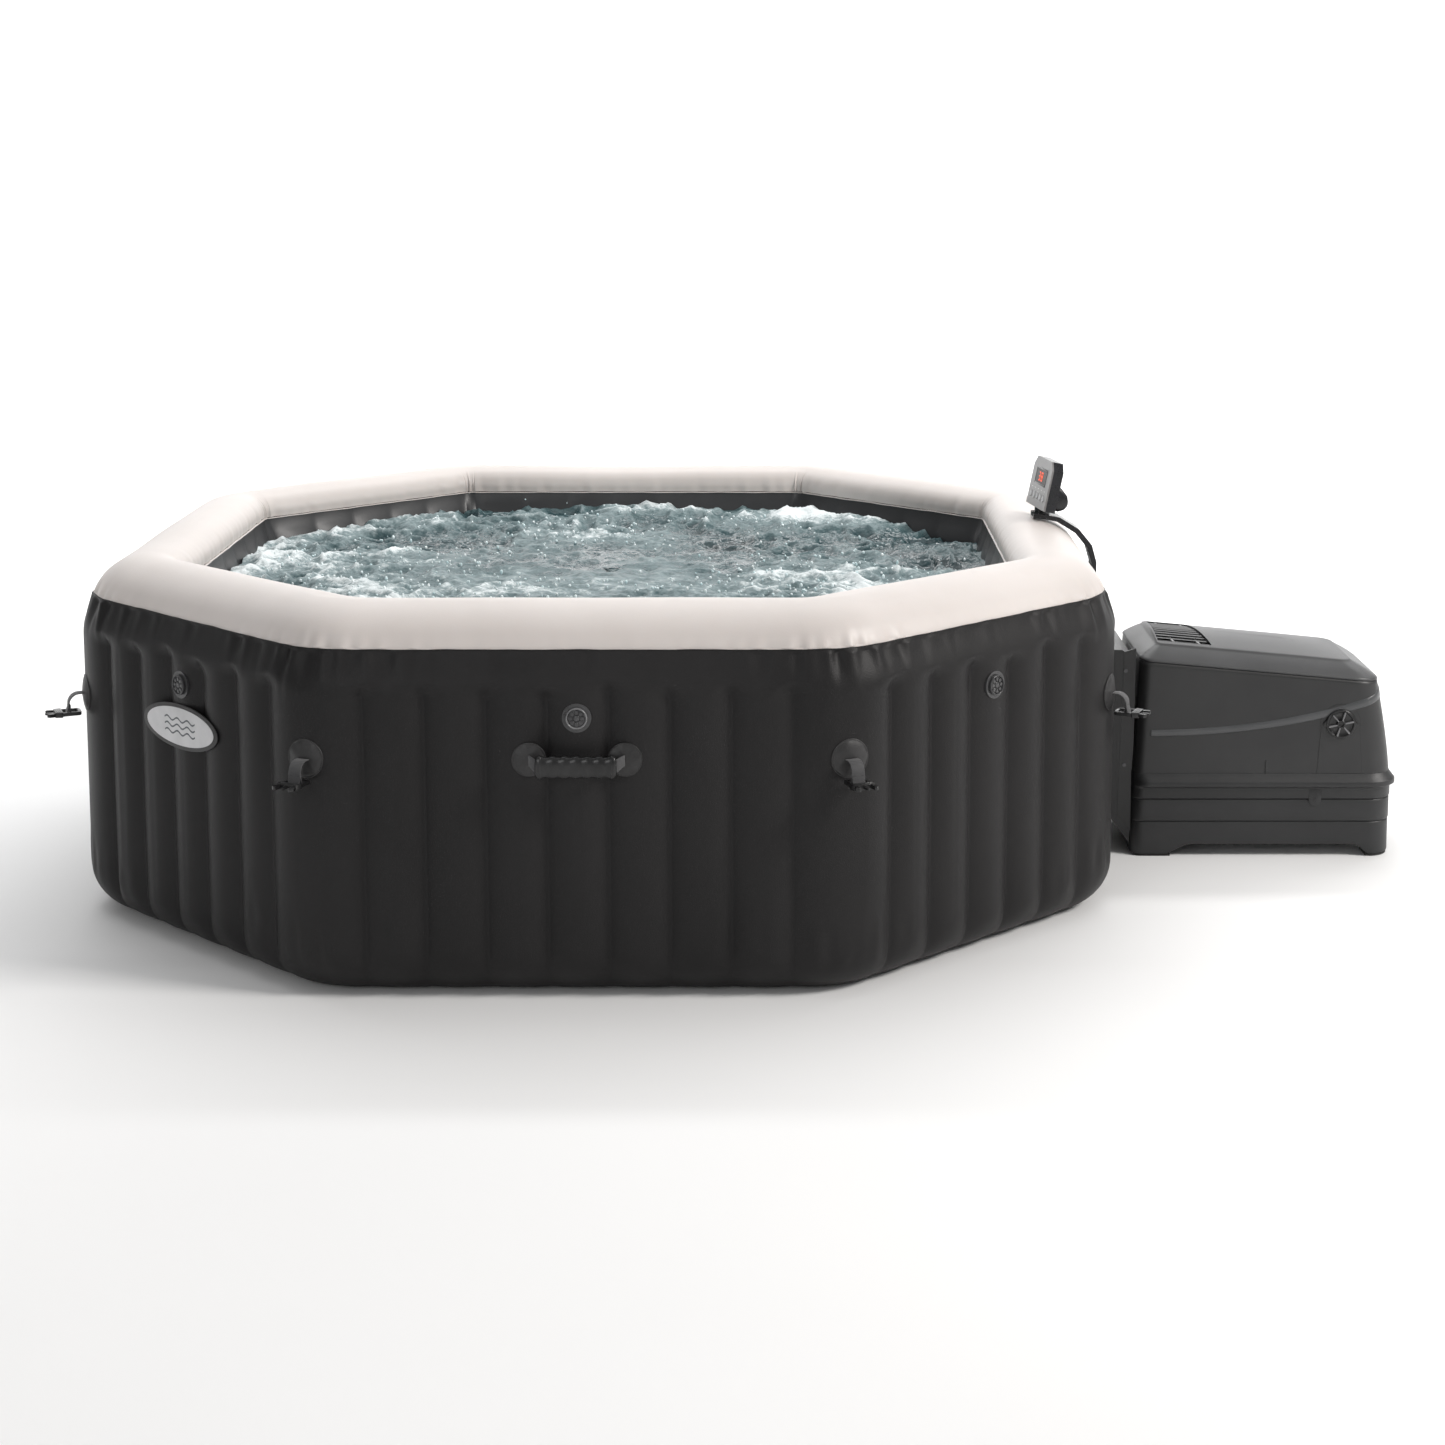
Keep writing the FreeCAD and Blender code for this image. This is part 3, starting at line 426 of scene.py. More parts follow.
def outline(s, inset):
    """Points at distances s along the sharp octagon, its corners rounded and its sides moved in.

    s starts at the middle of the +X side and runs anticlockwise.
    """
    s = np.mod(s, PERIMETER)
    inset = np.broadcast_to(inset, s.shape).astype(float)
    starts = [-HALF_LONG]
    for index in range(8):
        starts.append(starts[-1] + 2 * SIDE_HALVES[index % 2])
    shifted = np.where(s > starts[-1], s - PERIMETER, s)
    side = np.clip(np.searchsorted(starts, shifted, side="right") - 1, 0, 7)
    middle = np.array([(starts[i] + starts[i + 1]) / 2 for i in range(8)])[side]
    half = np.where(side % 2 == 0, HALF_LONG, HALF_SHORT)
    along = (shifted - middle) / half
    radius = np.maximum(CORNER_ROUND - inset, 0.030)
    reach = radius * TAN
    base_reach = CORNER_ROUND * TAN
    out = np.where(side % 2 == 0, HALF, SHORT_OUT) - inset
    here = half - inset * TAN
    flat_share = (half - base_reach) / half
    straight = np.clip(along / flat_share, -1, 1) * (here - reach)
    turn = np.clip((np.abs(along) - flat_share) / (1 - flat_share), 0, 1) * math.radians(22.5) * np.sign(along)
    x = out - radius + radius * np.cos(turn)
    y = straight + radius * np.sin(turn)
    face = np.radians(45.0) * side
    return x * np.cos(face) - y * np.sin(face), x * np.sin(face) + y * np.cos(face)


def outline_row(s, inset, z):
    """A row of points round the octagon at the height z."""
    x, y = outline(s, inset)
    return np.stack([x, y, np.broadcast_to(z, s.shape)], axis=1)


def beam_share(s):
    """Where s lies across its beam, 0 and 1 being its seams, and the beam's width."""
    s = np.mod(s + HALF_LONG, PERIMETER)
    share = np.zeros_like(s)
    width = np.full_like(s, BEAM)
    start = 0.0
    for index in range(8):
        length = 2 * SIDE_HALVES[index % 2]
        inside = (s >= start) & (s < start + length)
        local = s - start
        plain = inside & (local >= BEAM) & (local <= length - BEAM)
        share = np.where(plain, np.mod(local / BEAM, 1.0), share)
        low_end = inside & (local < BEAM)
        high_end = inside & (local > length - BEAM)
        share = np.where(low_end, 0.5 + 0.5 * local / BEAM, share)
        share = np.where(high_end, 0.5 * (local - length + BEAM) / BEAM, share)
        width = np.where(low_end | high_end, 2 * BEAM, width)
        start += length
    return share, width


def corner_nearness(s):
    """1 at a corner of the octagon, falling to 0 a beam and a half away."""
    s = np.mod(s + HALF_LONG, PERIMETER)
    start = 0.0
    near = np.zeros_like(s)
    for index in range(9):
        distance = np.abs(s - start)
        near = np.maximum(near, 1 - smoothstep(0.03, 0.30, distance))
        start += 2 * SIDE_HALVES[index % 2]
    return near


# ---------------------------------------------------------------- inflated skins

def wall_inset(z):
    """The outer wall's upright profile: a round foot, a flat belly and a shoulder drawn in to the seam."""
    foot = np.clip((FOOT_ROUND - z) / FOOT_ROUND, 0, 1)
    low = FOOT_ROUND * (1 - np.sqrt(np.clip(1 - foot ** 2, 0, 1)))
    shoulder = 0.024 * smoothstep(SEAM_Z - 0.085, SEAM_Z + 0.012, z) ** 1.3
    return low + shoulder


def make_wall():
    """The ribbed charcoal wall, its beams' seams pressed in, with gathers under the pale roll."""
    s = np.linspace(0, PERIMETER, WALL_COLUMNS, endpoint=False)
    heights = np.concatenate([
        FOOT_ROUND * (1 - np.cos(np.linspace(0.12, math.pi / 2, 14))),
        np.linspace(FOOT_ROUND + 0.012, SEAM_Z - 0.110, 46),
        np.linspace(SEAM_Z - 0.106, SEAM_Z, 46)])
    share, width = beam_share(s)
    at_corner = width > 1.5 * BEAM
    across = np.abs(2 * share - 1)
    groove = np.where(at_corner, 0.015, 0.016) * across ** np.where(at_corner, 3.0, 2.0)
    near = corner_nearness(s)
    gather = waves(s, SEED, (0.072, 0.050, 0.037, 0.027), (1.0, 0.8, 0.4, 0.15))
    gather_far = waves(s, SEED + 1, (0.33, 0.19, 0.12), (0.5, 0.5, 0.4))
    ragged = waves(s, SEED + 2, (0.09, 0.06, 0.041), (0.4, 0.4, 0.3))
    gather_height = np.maximum(0.030 + 0.018 * (ragged + 0.4) + 0.018 * near, 0.01)
    strength = 0.0006 + 0.0024 * near + 0.0007 * np.clip(gather_far, -0.6, 1)
    slow = waves(s, SEED + 3, (0.9, 0.5, 0.31), (0.5, 0.4, 0.3))
    foot_creases = waves(s, SEED + 4, (0.06, 0.043), (0.6, 0.5))
    top_of_groove = SEAM_Z - 0.052 + 0.006 * gather_far
    rows = []
    for z in heights:
        below = SEAM_Z - z
        fade_top = smoothstep(0.0, 0.030, top_of_groove - z)
        fade_foot = smoothstep(0.015, 0.085, z)
        inset = wall_inset(z) + groove * fade_top * (0.25 + 0.75 * fade_foot)
        pucker = np.exp(-(below / gather_height) ** 2 * 1.6) * smoothstep(0.0, 0.008, below)
        inset = inset + pucker * strength * gather
        inset = inset + 0.0012 * slow * math.sin(math.pi * z / SEAM_Z)
        crease = np.exp(-((z - 0.10 - 0.02 * slow) / 0.035) ** 2)
        inset = inset + crease * near * 0.0022 * foot_creases
        rows.append(outline_row(s, np.maximum(inset, 0.0), z))
    rows_object("wall_skin", rows, ["wall"], ("outer_wall", "base_skin"))


def roll_section():
    """The pale roll's section as (inset, z) from the outer seam, over the top, to the inner rim."""
    points = [(0.0240, SEAM_Z), (0.0262, 0.6270), (0.0315, 0.6370), (0.0400, 0.6490), (0.0530, 0.6615),
              (0.0700, 0.6730), (0.0900, 0.6820), (0.1120, 0.6872), (0.1350, 0.6888), (0.1580, 0.6862),
              (0.1770, 0.6780), (0.1900, 0.6650), (0.1960, 0.6500), (0.1955, 0.6340)]
    return smooth_line(points, 5)


def smooth_line(points, steps):
    """A Catmull-Rom line through the points."""
    points = [np.array(p, float) for p in points]
    padded = [2 * points[0] - points[1]] + points + [2 * points[-1] - points[-2]]
    line = []
    for a, b, c, d in zip(padded, padded[1:], padded[2:], padded[3:]):
        for step in range(steps):
            t = step / steps
            line.append(0.5 * (2 * b + (c - a) * t + (2 * a - 5 * b + 4 * c - d) * t * t
                               + (3 * b - a - 3 * c + d) * t ** 3))
    line.append(points[-1])
    return line


def make_roll():
    """The pale seat of the rim, puckered a little where it is welded to the dark wall."""
    s = np.linspace(0, PERIMETER, ROLL_COLUMNS, endpoint=False)
    near = corner_nearness(s)
    gather = waves(s, SEED, (0.064, 0.043, 0.031), (0.8, 0.9, 0.6))
    inner_gather = waves(s, SEED + 6, (0.074, 0.047, 0.031), (0.7, 0.6, 0.5))
    slow = waves(s, SEED + 5, (1.1, 0.62, 0.37), (0.5, 0.4, 0.3))
    section = roll_section()
    rows = []
    for index, (inset, z) in enumerate(section):
        share = index / (len(section) - 1)
        at_seam = math.exp(-(share / 0.16) ** 2) * smoothstep(0.0, 0.03, share)
        at_rim = math.exp(-((1 - share) / 0.16) ** 2)
        push = at_seam * gather * (0.0003 + 0.0013 * near)
        push = push + at_rim * inner_gather * (0.0008 + 0.0015 * near)
        lift = 0.0018 * slow * math.sin(math.pi * share)
        rows.append(outline_row(s, inset + push, np.minimum(z + lift, HEIGHT)))
    rows_object("rim_roll", rows, ["roll"], ("top_roll",))


def make_seams():
    """The welded lips: a thin flat strip where the roll meets the wall, and one round the inner rim."""
    s = np.linspace(0, PERIMETER, FINE_COLUMNS, endpoint=False)
    wobble = 0.0006 * waves(s, SEED + 8, (0.2, 0.11, 0.06), (0.5, 0.4, 0.3))
    lips = (("outer_weld", 0.0255, SEAM_Z - 0.0008, 0.0036, "wall", "charcoal_pvc"),
            ("inner_weld", 0.1935, 0.6315, -0.0050, "roll", "cream_pvc"))
    for name, inset, z, out, mat, slot in lips:
        section = ((0, 0.0012), (out, 0.0009), (out, -0.0007), (0, -0.0012))
        rows = [outline_row(s, inset - step_out, z + step_up + wobble) for step_out, step_up in section]
        rows_object(name, rows, [mat])


def make_liner():
    """The inner wall, ribbed like the outer one and drawn out to the rim at its top."""
    s = np.linspace(0, PERIMETER, FINE_COLUMNS, endpoint=False)
    share, _ = beam_share(s)
    groove = 0.006 * np.abs(2 * share - 1) ** 2.2
    rows = []
    for z in np.linspace(0.010, 0.632, 44):
        top = smoothstep(0.57, 0.632, z)
        rows.append(outline_row(s, LINER_INSET - 0.021 * top - groove * (1 - top), z))
    faces = [face[::-1] for face in grid_faces(FINE_COLUMNS, len(rows))]
    add_object("inner_skin", np.concatenate(rows), faces, ["liner"], ("inner_wall",))


def make_air_channel():
    """The soft tube round the liner's foot that lets the bubbles out."""
    s = np.linspace(0, PERIMETER, FINE_COLUMNS, endpoint=False)
    wobble = 0.0008 * waves(s, SEED + 9, (0.12, 0.07), (0.6, 0.5))
    rows = []
    for step in range(17):
        angle = math.pi * 2 * step / 16
        inset = 0.247 + 0.030 * math.cos(angle)
        rows.append(outline_row(s, inset, 0.041 + 0.030 * math.sin(angle) + wobble))
    rows_object("air_channel", rows, ["liner"], ("bubble_channel",))


def make_floor():
    """The tub's quilted floor."""
    columns, rings = 256, 60
    edge_x, edge_y = outline(np.linspace(0, PERIMETER, columns, endpoint=False), LINER_INSET + 0.0025)
    rows = [[[0, 0, 0.0087]]]
    for ring in range(1, rings + 1):
        x, y = edge_x * ring / rings, edge_y * ring / rings
        dimple = 0.0022 * np.cos(x * 42) * np.cos(y * 42)
        rows.append(np.stack([x, y, 0.0065 + dimple], axis=1))
    add_object("tub_floor", np.concatenate(rows), disc_faces(columns, rings), ["liner"],
               ("floor_sheet",))


def value_noise(x, y, cell, seed):
    """Smooth random hills on a square lattice."""
    rng = np.random.default_rng(seed)
    table = rng.uniform(-1, 1, (512, 512))
    gx, gy = x / cell + 200.37, y / cell + 200.71
    ix, iy = np.floor(gx).astype(int), np.floor(gy).astype(int)
    fx, fy = gx - ix, gy - iy
    fx, fy = fx * fx * (3 - 2 * fx), fy * fy * (3 - 2 * fy)
    ix, iy = np.mod(ix, 511), np.mod(iy, 511)
    low = table[ix, iy] * (1 - fx) + table[ix + 1, iy] * fx
    high = table[ix, iy + 1] * (1 - fx) + table[ix + 1, iy + 1] * fx
    return low * (1 - fy) + high * fy


def water_height(x, y):
    """The height of the churned surface over still water, and how frothy it is from 0 to 1."""
    swell = 0.010 * value_noise(x, y, 0.30, 1) + 0.009 * value_noise(x, y, 0.13, 2)
    ridged = 1 - np.abs(value_noise(x, y, 0.085, 3))
    chop = 0.011 * (ridged ** 2 - 0.5) + 0.008 * (1 - np.abs(value_noise(x, y, 0.042, 4)) * 2)
    spray = 0.0030 * value_noise(x, y, 0.021, 5) + 0.0015 * value_noise(x, y, 0.010, 6)
    radius = np.sqrt(x * x + y * y)
    boil = 0.45 + 0.75 * smoothstep(0.15, 0.66, radius)
    height = (swell + chop) * boil + spray * (0.35 + boil)
    calm = value_noise(x, y, 0.34, 8) + 0.5 * value_noise(x, y, 0.15, 9)
    froth = np.clip(0.20 + 9.5 * height + 0.08 * boil + 0.16 * calm, 0, 1)
    return height, froth


def make_water():
    """The bubbling water's surface, cut to the liner's octagon."""
    columns, rings = 900, 230
    edge_x, edge_y = outline(np.linspace(0, PERIMETER, columns, endpoint=False), LINER_INSET - 0.004)
    rows = [[[0, 0, WATER_Z]]]
    frothy = [[0.3]]
    for ring in range(1, rings + 1):
        share = (ring / rings) ** 0.72
        x, y = edge_x * share, edge_y * share
        height, froth = water_height(x, y)
        rows.append(np.stack([x, y, WATER_Z + height], axis=1))
        frothy.append(froth)
    faces = disc_faces(columns, rings)
    obj = add_object("water_surface", np.concatenate(rows), faces, ["water"])
    attribute = obj.data.attributes.new("froth", "FLOAT", "POINT")
    attribute.data.foreach_set("value", np.concatenate(frothy).astype(np.float32))


def make_spray():
    """Drops and blobs of froth thrown up over the boiling ring."""
    rng = np.random.default_rng(SEED)
    ball = bmesh.new()
    bmesh.ops.create_icosphere(ball, subdivisions=2, radius=1.0)
    ball_verts = np.array([v.co[:] for v in ball.verts])
    ball_faces = np.array([[v.index for v in f.verts] for f in ball.faces])
    ball.free()
    verts, faces = [], []
    for _ in range(DROPS):
        angle = rng.uniform(0, 2 * math.pi)
        radius = 0.74 * math.sqrt(rng.uniform(0.06, 1.0))
        x, y = radius * math.cos(angle), radius * math.sin(angle)
        height, froth = water_height(np.array([x]), np.array([y]))
        if froth[0] < 0.26:
            continue
        size = rng.uniform(0.0010, 0.0034)
        lift = min(rng.exponential(0.007), 0.035) if rng.random() < 0.65 else 0.0
        stretch = np.array([size, size, size * rng.uniform(0.8, 1.6)])
        place = np.array([x, y, WATER_Z + float(height[0]) + lift + size * 0.2])
        faces.append(ball_faces + len(ball_verts) * len(verts))
        verts.append(ball_verts * stretch + place)
    add_object("water_spray", np.concatenate(verts), np.concatenate(faces).tolist(), ["froth"])


# ---------------------------------------------------------------- small shapes

def rounded_section(half_wide, half_thick, steps=3):
    """A flat bar's section with round edges, as (across, through) pairs."""
    points = []
    radius = half_thick
    for centre, start in (((half_wide - radius), -90), (-(half_wide - radius), 90)):
        for step in range(steps * 2 + 1):
            angle = math.radians(start + 180 * step / (steps * 2))
            points.append((centre + radius * math.cos(angle), radius * math.sin(angle)))
    return points


def ribbon(path, half_wide, half_thick):
    """Verts and faces of a strap along a path of (x, z) points."""
    path = np.array(path, float)
    tangent = np.gradient(path, axis=0)
    tangent /= np.linalg.norm(tangent, axis=1)[:, None]
    section = rounded_section(half_wide, half_thick)
    verts = []
    for (x, z), (tx, tz) in zip(path, tangent):
        verts += [(x - tz * through, across, z + tx * through) for across, through in section]
    return verts, tube_faces(len(section), len(path))


def lathe(profile, columns=64):
    """Verts and faces of a shape turned about the X axis from (x, radius) points."""
    verts = []
    for x, radius in profile:
        for column in range(columns):
            angle = 2 * math.pi * column / columns
            verts.append((x, radius * math.cos(angle), radius * math.sin(angle)))
    return verts, tube_faces(columns, len(profile))


def slab(bm, outline_points, low, high, place=Matrix.Identity(4), material=0):
    """A plate with the given (x, y) outline between two heights."""
    bottom = [bm.verts.new(place @ Vector((x, y, low))) for x, y in outline_points]
    top = [bm.verts.new(place @ Vector((x, y, high))) for x, y in outline_points]
    faces = [bm.faces.new(bottom[::-1]), bm.faces.new(top)]
    count = len(bottom)
    for i in range(count):
        faces.append(bm.faces.new((bottom[i], bottom[(i + 1) % count], top[(i + 1) % count], top[i])))
    for face in faces:
        face.material_index = material


def mesh_into(bm, verts, faces, place=Matrix.Identity(4), material=0):
    new = [bm.verts.new(place @ Vector(v)) for v in verts]
    for face in faces:
        made = bm.faces.new([new[i] for i in face])
        made.material_index = material


def oval(half_x, half_y, count=96):
    return [(half_x * math.cos(2 * math.pi * i / count), half_y * math.sin(2 * math.pi * i / count))
            for i in range(count)]


def joint_named(name):
    return next(j for j in frame["record"]["behaviour"]["joints"] if j["name"] == name)


# ---------------------------------------------------------------- straps, clips, handles, valves

STRAP_OUT = 0.034
STRAP_DROP = 0.037
STRAP_BEND = 0.020
STRAP_HALF = 0.012


def clip_place(name):
    """A matrix with X out of the wall at a clip's corner, its origin on the wall at its patch's middle."""
    joint = joint_named(name + "_swing")
    out = Vector((joint["axis"][1], -joint["axis"][0], 0))
    at = Vector(joint["pos_m"]) - out * STRAP_OUT + Vector((0, 0, STRAP_DROP))
    return Matrix.Translation(at) @ Matrix.Rotation(math.atan2(out.y, out.x), 4, "Z")


def patch_mesh(radius, dome, bend):
    """A welded round patch that swells in the middle and drapes over a wall of the given bend radius."""
    columns = 72
    thick, weld = 0.0016, 0.92
    profile = [(0.25, 0.0), (0.5, 0.0), (0.7, 0.0), (0.84, 0.0), (0.90, -0.0003), (0.93, -0.0004),
               (0.96, 0.0), (0.99, 0.0), (1.0, -0.0007), (1.002, -0.0022)]
    verts = []
    for share, extra in profile:
        swell = dome * max(0.0, 1 - (share / weld) ** 2)
        ruffle = 0.0005 * smoothstep(0.4, 0.85, share) * (share < 0.95)
        for column in range(columns):
            angle = 2 * math.pi * column / columns
            y, z = radius * share * math.cos(angle), radius * share * math.sin(angle)
            drape = y * y / (2 * bend)
            verts.append((thick + swell + extra - drape + ruffle * math.sin(7 * angle + 1.3), y, z))
    centre = len(verts)
    verts.append((thick + dome, 0, 0))
    faces = grid_faces(columns, len(profile))
    faces += [(centre, (i + 1) % columns, i) for i in range(columns)]
    return verts, faces


def strap_path():
    """From the patch's middle, level, over a quarter bend, down round the clip's bar and up again behind."""
    bend_x = STRAP_OUT - STRAP_BEND
    path = [(0.002, -0.0012), (0.006, -0.0002), (0.010, 0.0)]
    for step in range(13):
        angle = math.radians(90 - 90 * step / 12)
        path.append((bend_x + STRAP_BEND * math.cos(angle), STRAP_BEND * math.sin(angle) - STRAP_BEND))
    path.append((STRAP_OUT + 0.0006, -STRAP_DROP + 0.011))
    for step in range(11):
        angle = math.radians(20 - 200 * step / 10)
        path.append((STRAP_OUT + 0.0038 * math.cos(angle), -STRAP_DROP + 0.0038 * math.sin(angle)))
    path += [(STRAP_OUT - 0.0022, -STRAP_DROP + 0.008), (STRAP_OUT - 0.0022, -STRAP_DROP + 0.016)]
    return path


def clip_mesh():
    """A side-release clip's male half: a frame with two slots, a ribbed shoulder and three prongs."""
    bm = bmesh.new()
    frame_half, half = 0.018, 0.022
    drop = Matrix.Translation((STRAP_OUT, 0, -STRAP_DROP))
    verts, faces = lathe([(-0.0175, 0.0022), (0.0175, 0.0022)], 20)
    turned = Matrix.Rotation(math.pi / 2, 4, "Z")
    mesh_into(bm, verts, faces, drop @ turned)
    cross = [(-0.0225, -frame_half + 0.004), (-0.0195, -frame_half), (-0.0165, -frame_half + 0.002), (-0.0170, 0),
             (-0.0165, frame_half - 0.002), (-0.0195, frame_half), (-0.0225, frame_half - 0.004), (-0.0235, 0)]
    slab(bm, cross, -0.0030, 0.0030, drop)
    for side in (-1, 1):
        cheek = [(-0.0200, 0.0140), (-0.0200, 0.0180), (0.0040, 0.0185), (0.0140, 0.0200), (0.0140, 0.0140)]
        slab(bm, [(x, side * y) for x, y in cheek], -0.0036, 0.0036, drop)
        prong = [(0.0260, 0.0120), (0.0260, 0.0190), (0.0330, 0.0205), (0.0372, 0.0216), (0.0420, 0.0160),
                 (0.0410, 0.0125), (0.0360, 0.0130)]
        slab(bm, [(x, side * y) for x, y in prong], -0.0034, 0.0034, drop)
    shoulder = [(0.0125, -half + 0.002), (0.0145, -half), (0.0215, -half + 0.0015), (0.0268, -half + 0.0030),
                (0.0268, half - 0.0030), (0.0215, half - 0.0015), (0.0145, half), (0.0125, half - 0.002)]
    slab(bm, shoulder, -0.0050, 0.0050, drop)
    for step in range(3):
        x = 0.0150 + 0.0036 * step
        rib = [(x, -half + 0.004), (x + 0.0016, -half + 0.004), (x + 0.0016, half - 0.004), (x, half - 0.004)]
        slab(bm, rib, 0.0046, 0.0056, drop)
    tongue = [(0.0260, -0.0034), (0.0420, -0.0026), (0.0440, -0.0012), (0.0440, 0.0012), (0.0420, 0.0026),
              (0.0260, 0.0034)]
    slab(bm, tongue, -0.0020, 0.0020, drop)
    return bm


def make_straps():
    """The eight corner patches with their webbing, stitches and clips."""
    patches = bmesh.new()
    straps = bmesh.new()
    verts, faces = ribbon(strap_path(), STRAP_HALF, 0.0009)
    patch_verts, patch_faces = patch_mesh(0.035, 0.0055, CORNER_ROUND)
    stitch = [(0.0, -0.0024), (0.0009, -0.0024), (0.0009, 0.0024), (0.0, 0.0024)]
    for name in [name for name in NODES if name.startswith("clip_")]:
        place = clip_place(name)
        mesh_into(patches, patch_verts, patch_faces, place)
        mesh_into(straps, verts, faces, place)
        for drop in (0.0235, 0.0275):
            for across in (-0.008, 0.008):
                spot = Matrix.Translation((STRAP_OUT + 0.0006, across, -drop))
                slab(straps, stitch, 0.0, 0.0008, place @ spot, 1)
        body = clip_mesh()
        body.transform(place)
        bmesh_object("buckle_" + name, body, ["black"], name, (name,), bevel=0.0009)
    bmesh_object("strap_patch_skins", patches, ["patch"], TUB, ("strap_patches",))
    bmesh_object("strap_ribbons", straps, ["webbing", "patch"], TUB, ("strap_webbing",))


HANDLE_HALF = 0.083
HANDLE_Z = 0.432
GRIP_Z = 0.426
GRIP_OUT = 0.030
GRIP_HALF = 0.070


def grip_mesh():
    """The moulded grip: a flat oval bar with seven finger waves and a collar at each end."""
    rows, columns = 121, 40
    verts = []
    for row in range(rows):
        share = 2 * row / (rows - 1) - 1
        y = GRIP_HALF * share
        wave = 0.0011 * math.cos(share * math.pi * 7)
        collar = 0.0016 * (0.86 < abs(share) < 0.965)
        close = max(0.0, abs(share) - 0.975) / 0.025
        shrink = 1 - 0.35 * close ** 2
        for column in range(columns):
            angle = 2 * math.pi * column / columns
            cos, sin = math.cos(angle), math.sin(angle)
            thick = (0.0085 + wave * 0.4 + collar * 0.7) * shrink
            high = (0.0185 + wave + collar) * shrink
            x = thick * math.copysign(abs(cos) ** 0.75, cos)
            z = high * math.copysign(abs(sin) ** 0.75, sin)
            verts.append((x + GRIP_OUT, y, z + GRIP_Z))
    return verts, tube_faces(columns, rows)


def tab_mesh(side):
    """Webbing from the grip's end to its patch, narrower and nearer the wall at the patch."""
    rows = 14
    near, far = GRIP_HALF - 0.006, HANDLE_HALF
    verts = []
    for row in range(rows):
        share = row / (rows - 1)
        y = side * (near + (far - near) * share)
        out = GRIP_OUT + (0.0065 - GRIP_OUT) * share ** 1.6
        z = GRIP_Z + (HANDLE_Z - GRIP_Z) * smoothstep(0.0, 1.0, share)
        section = rounded_section(0.0135 - 0.0040 * share, 0.0010)
        verts += [(out + through, y, z + across) for across, through in section]
    return verts, tube_faces(len(section), rows)


def make_handles():
    patches = bmesh.new()
    patch_verts, patch_faces = patch_mesh(0.030, 0.0045, 4.0)
    for name, turn, y in (("front", -90, -HALF), ("back", 90, HALF)):
        place = Matrix.Translation((0, y, 0)) @ Matrix.Rotation(math.radians(turn), 4, "Z")
        for side in (-1, 1):
            spot = Matrix.Translation((0, side * HANDLE_HALF, HANDLE_Z))
            mesh_into(patches, patch_verts, patch_faces, place @ spot)
        handle = bmesh.new()
        verts, faces = grip_mesh()
        mesh_into(handle, verts, faces, place)
        for side in (-1, 1):
            verts, faces = tab_mesh(side)
            mesh_into(handle, verts, faces, place, 1)
        bmesh_object("grip_" + name, handle, ["black", "webbing"], "handle_" + name,
                     ("handle_" + name,))
    bmesh_object("handle_patch_skins", patches, ["patch"], TUB, ("handle_patches",))


def make_valves():
    """Round screw caps: a rim ring, eight petals and a button in the middle."""
    plate = [(-0.010, 0.0135), (0.0005, 0.0140), (0.0010, 0.0175), (0.0022, 0.0180), (0.0030, 0.0165),
             (0.0030, 0.0060), (0.0046, 0.0055), (0.0052, 0.0045), (0.0052, 0.0005)]
    ring = [(0.0012, 0.0155), (0.0052, 0.0158), (0.0064, 0.0168), (0.0064, 0.0180), (0.0052, 0.0189),
            (0.0012, 0.0190), (0.0012, 0.0155)]
    petal = [(0.0068, -0.0018), (0.0068, 0.0018), (0.0115, 0.0036), (0.0142, 0.0026), (0.0148, 0.0),
             (0.0142, -0.0026), (0.0115, -0.0036)]
    petals = 8
    for name, rim in (("front", "trim_bright"), ("left", "valve"), ("right", "valve")):
        joint = joint_named("valve_cap_" + name + "_turn")
        out = Vector(joint["axis"])
        place = Matrix.Translation(joint["pos_m"]) @ Matrix.Rotation(math.atan2(out.y, out.x), 4, "Z")
        bm = bmesh.new()
        verts, faces = lathe(plate)
        mesh_into(bm, verts, faces, place)
        verts, faces = lathe(ring)
        mesh_into(bm, verts, faces[:-2], place, 1)
        for step in range(petals):
            turn = Matrix.Rotation(2 * math.pi * step / petals, 4, "X")
            slab(bm, petal, 0.0026, 0.0050, place @ turn @ UPRIGHT)
        bmesh_object("valve_knob_" + name, bm, ["valve", rim], "valve_cap_" + name,
                     ("valve_cap_" + name,), bevel=0.0006)


def make_badge():
    """A plain oval name plate with a dark rim and a generic pattern of three waves."""
    low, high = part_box("badge")
    wall = -SHORT_OUT * math.sqrt(0.5)
    place = (Matrix.Translation((wall, wall, (low.z + high.z) / 2))
             @ Matrix.Rotation(math.radians(-135), 4, "Z") @ UPRIGHT)
    half_long, half_high = 0.1225, 0.042
    bm = bmesh.new()
    slab(bm, oval(half_long, half_high), 0.0004, 0.0030, place, 0)
    slab(bm, oval(half_long - 0.0125, half_high - 0.0072), 0.0020, 0.0036, place, 1)
    steps = 60
    for row in (1, 0, -1):
        line = []
        for step in range(steps + 1):
            y = 0.012 * row + 0.0032 * math.sin(2 * math.pi * step / 20)
            line.append((-0.050 + 0.100 * step / steps, y))
        lower = [(x, y - 0.0016) for x, y in line]
        upper = [(x, y + 0.0016) for x, y in line]
        slab(bm, lower + upper[::-1], 0.0034, 0.0039, place, 2)
    bmesh_object("name_plate", bm, ["patch", "badge_face", "badge_mark"], TUB, ("badge",),
                 bevel=0.0007)


# ---------------------------------------------------------------- pump unit

